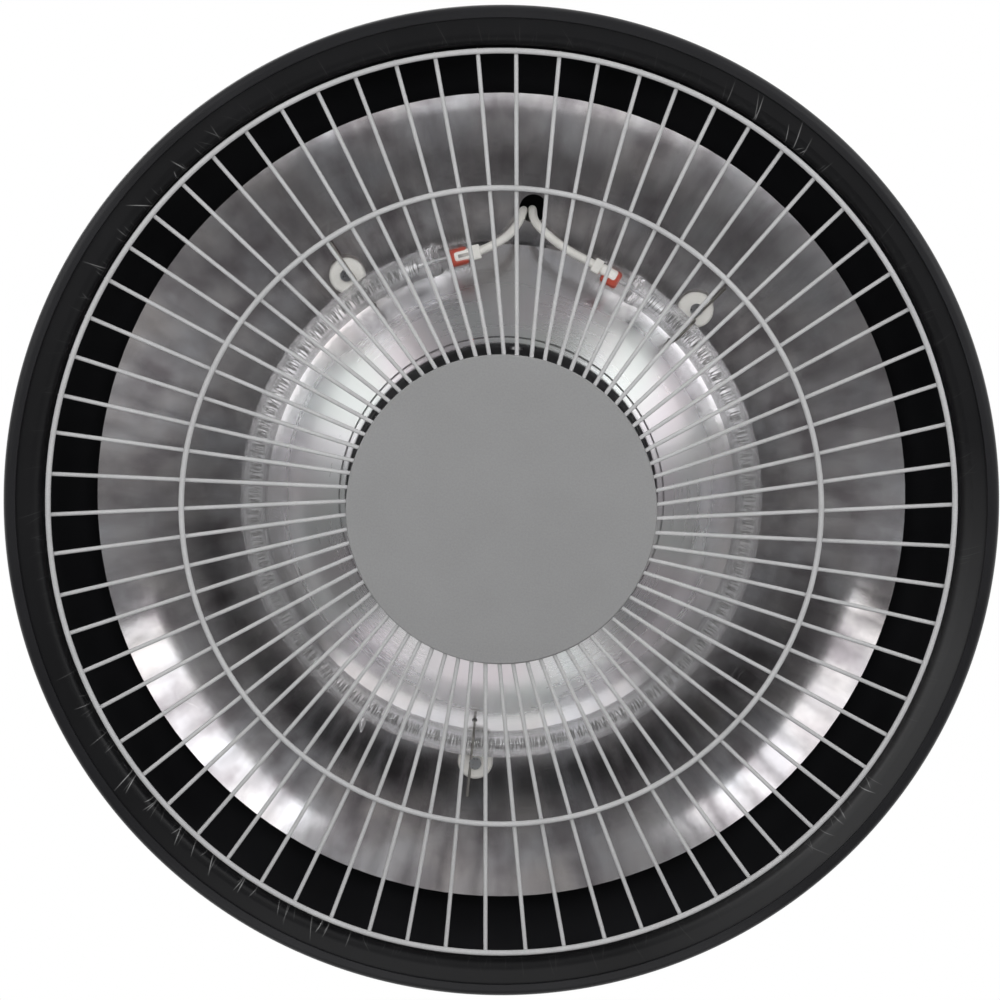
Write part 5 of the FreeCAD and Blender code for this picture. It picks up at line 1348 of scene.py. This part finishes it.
# %% [markdown]
# The shade's hem is the edge that every view shows, and the solid's facets leave it slightly jagged.
# A finely turned skin of the hem's own section lies over it, a few hundredths of a millimetre proud,
# and runs out into the skirt above. Its creases are marked sharp, so that its flat bands shade flat.

# %% Hem
HEM_STEPS = 480
HEM_PROUD = 0.02
HEM_ROLL, HEM_SKIN = 3.5, 0.4
HEM_CREASE = 20
HEM_INSIDE, SKIRT_TOP = 207.0, 22.0
RIM_MM = RIM / MM
ROUND_ANGLES = range(0, 91, 9)


def hem_arc(radius, angles):
    """Points of the hem's round, at angles from straight down to straight out."""
    turns = [math.radians(angle) for angle in angles]
    corner = RIM_MM - HEM_ROLL
    return [(corner + radius * math.sin(turn), HEM_ROLL - radius * math.cos(turn)) for turn in turns]


hem_section = [
    (HEM_INSIDE, HEM_SKIN),
    (HEM_INSIDE, HEM_PROUD),
    (HEM_INSIDE + HEM_PROUD, -HEM_PROUD),
    *hem_arc(HEM_ROLL + HEM_PROUD, ROUND_ANGLES),
    (RIM_MM + HEM_PROUD, SKIRT_TOP - HEM_SKIN),
    (RIM_MM - HEM_SKIN / 2, SKIRT_TOP),
    (RIM_MM - HEM_SKIN, SKIRT_TOP - HEM_SKIN),
    *hem_arc(HEM_ROLL - HEM_SKIN, reversed(ROUND_ANGLES)),
]
hem = turned("shade_hem", hem_section, HEM_STEPS, FINISH["black_coat"])
hem.data.set_sharp_from_angle(angle=math.radians(HEM_CREASE))
mounted(hem, "heater", [])

# %% [markdown]
# The leads are soft sleeved wire. From the caps they bend together into the reflector's hole and run
# under the crown to the terminal block. A smooth curve through a few places, with a round bevel, lies
# the way such a stiff sleeve does; the places are in millimetres, with the height above the mouth.

# %% Lead routes
LEAD_ROUTES = {
    "left": (
        (-9.5, -115.2, 46.0),
        (-4.4, -122.6, 51.0),
        (-2.6, -129.4, 60.5),
        (-2.6, -128.6, 78.0),
        (-3.4, -114.0, 90.0),
        (-3.4, -94.0, 97.0),
        (-3.2, -72.0, 101.5),
        (-3.0, -50.0, 104.0),
        (-2.6, -30.5, 108.0),
        (-2.3, -20.5, 119.0),
        (-3.4, -19.6, 131.5),
    ),
    "right": (
        (17.5, -113.2, 45.6),
        (8.5, -119.0, 47.6),
        (2.2, -124.3, 52.5),
        (1.1, -130.6, 63.0),
        (1.3, -128.5, 80.0),
        (1.6, -113.0, 91.0),
        (1.8, -93.0, 98.0),
        (2.0, -71.0, 102.5),
        (2.2, -49.5, 105.0),
        (2.3, -30.0, 109.0),
        (2.3, -20.5, 119.5),
        (3.4, -19.6, 131.5),
    ),
}
print("places on the leads' routes:", [len(route) for route in LEAD_ROUTES.values()])

# %% [markdown]
# Each sleeve starts inside its ceramic collar, follows its route and goes straight up into the
# terminal block. The drawn curve becomes a plain mesh at the end, like every other piece.

# %% Lamp leads
LEAD_RADIUS = 1.9 * MM
LEAD_STARTS = (0.5, 1.1)
SLEEVE_ROUND = 5
CURVE_ORDER, CURVE_STEPS = 3, 10


def sleeve_curve(name, points):
    """Draw a round sleeve along a smooth curve near some points."""
    curve = bpy.data.curves.new(name, "CURVE")
    curve.dimensions = "3D"
    curve.bevel_depth = LEAD_RADIUS
    curve.bevel_resolution = SLEEVE_ROUND
    curve.use_fill_caps = True
    spline = curve.splines.new("NURBS")
    spline.points.add(len(points) - 1)
    for point, place in zip(spline.points, points):
        point.co = (*place, 1.0)
    spline.order_u = CURVE_ORDER
    spline.resolution_u = CURVE_STEPS
    spline.use_endpoint_u = True
    return curve


def plain_mesh(name, curve, material):
    """Turn a drawn curve into a smooth mesh with a finish."""
    drawn = bpy.data.objects.new(name + "_curve", curve)
    bpy.context.scene.collection.objects.link(drawn)
    depsgraph = bpy.context.evaluated_depsgraph_get()
    mesh = bpy.data.meshes.new_from_object(drawn.evaluated_get(depsgraph), depsgraph=depsgraph)
    bpy.data.objects.remove(drawn)
    mesh.name = name
    mesh.materials.clear()
    mesh.materials.append(material)
    for polygon in mesh.polygons:
        polygon.use_smooth = True
    return bpy.data.objects.new(name, mesh)


for name, route in LEAD_ROUTES.items():
    foot, along, outward = tube_end(name)
    centre = foot + outward * OFF_MIDDLE[name]
    points = [centre + along * (SKIRT + COLLAR_LENGTH * share) for share in LEAD_STARTS]
    points += [Vector((x * MM, y * MM, level(height))) for x, y, height in route]
    points.append(Vector((*points[-1].xy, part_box(f"lamp_lead_{name}")[1].z)))
    label = f"sleeved_lead_{name}"
    sleeve = plain_mesh(label, sleeve_curve(label, points), FINISH["white_sleeve"])
    mounted(sleeve, "heater", [f"lamp_lead_{name}"])
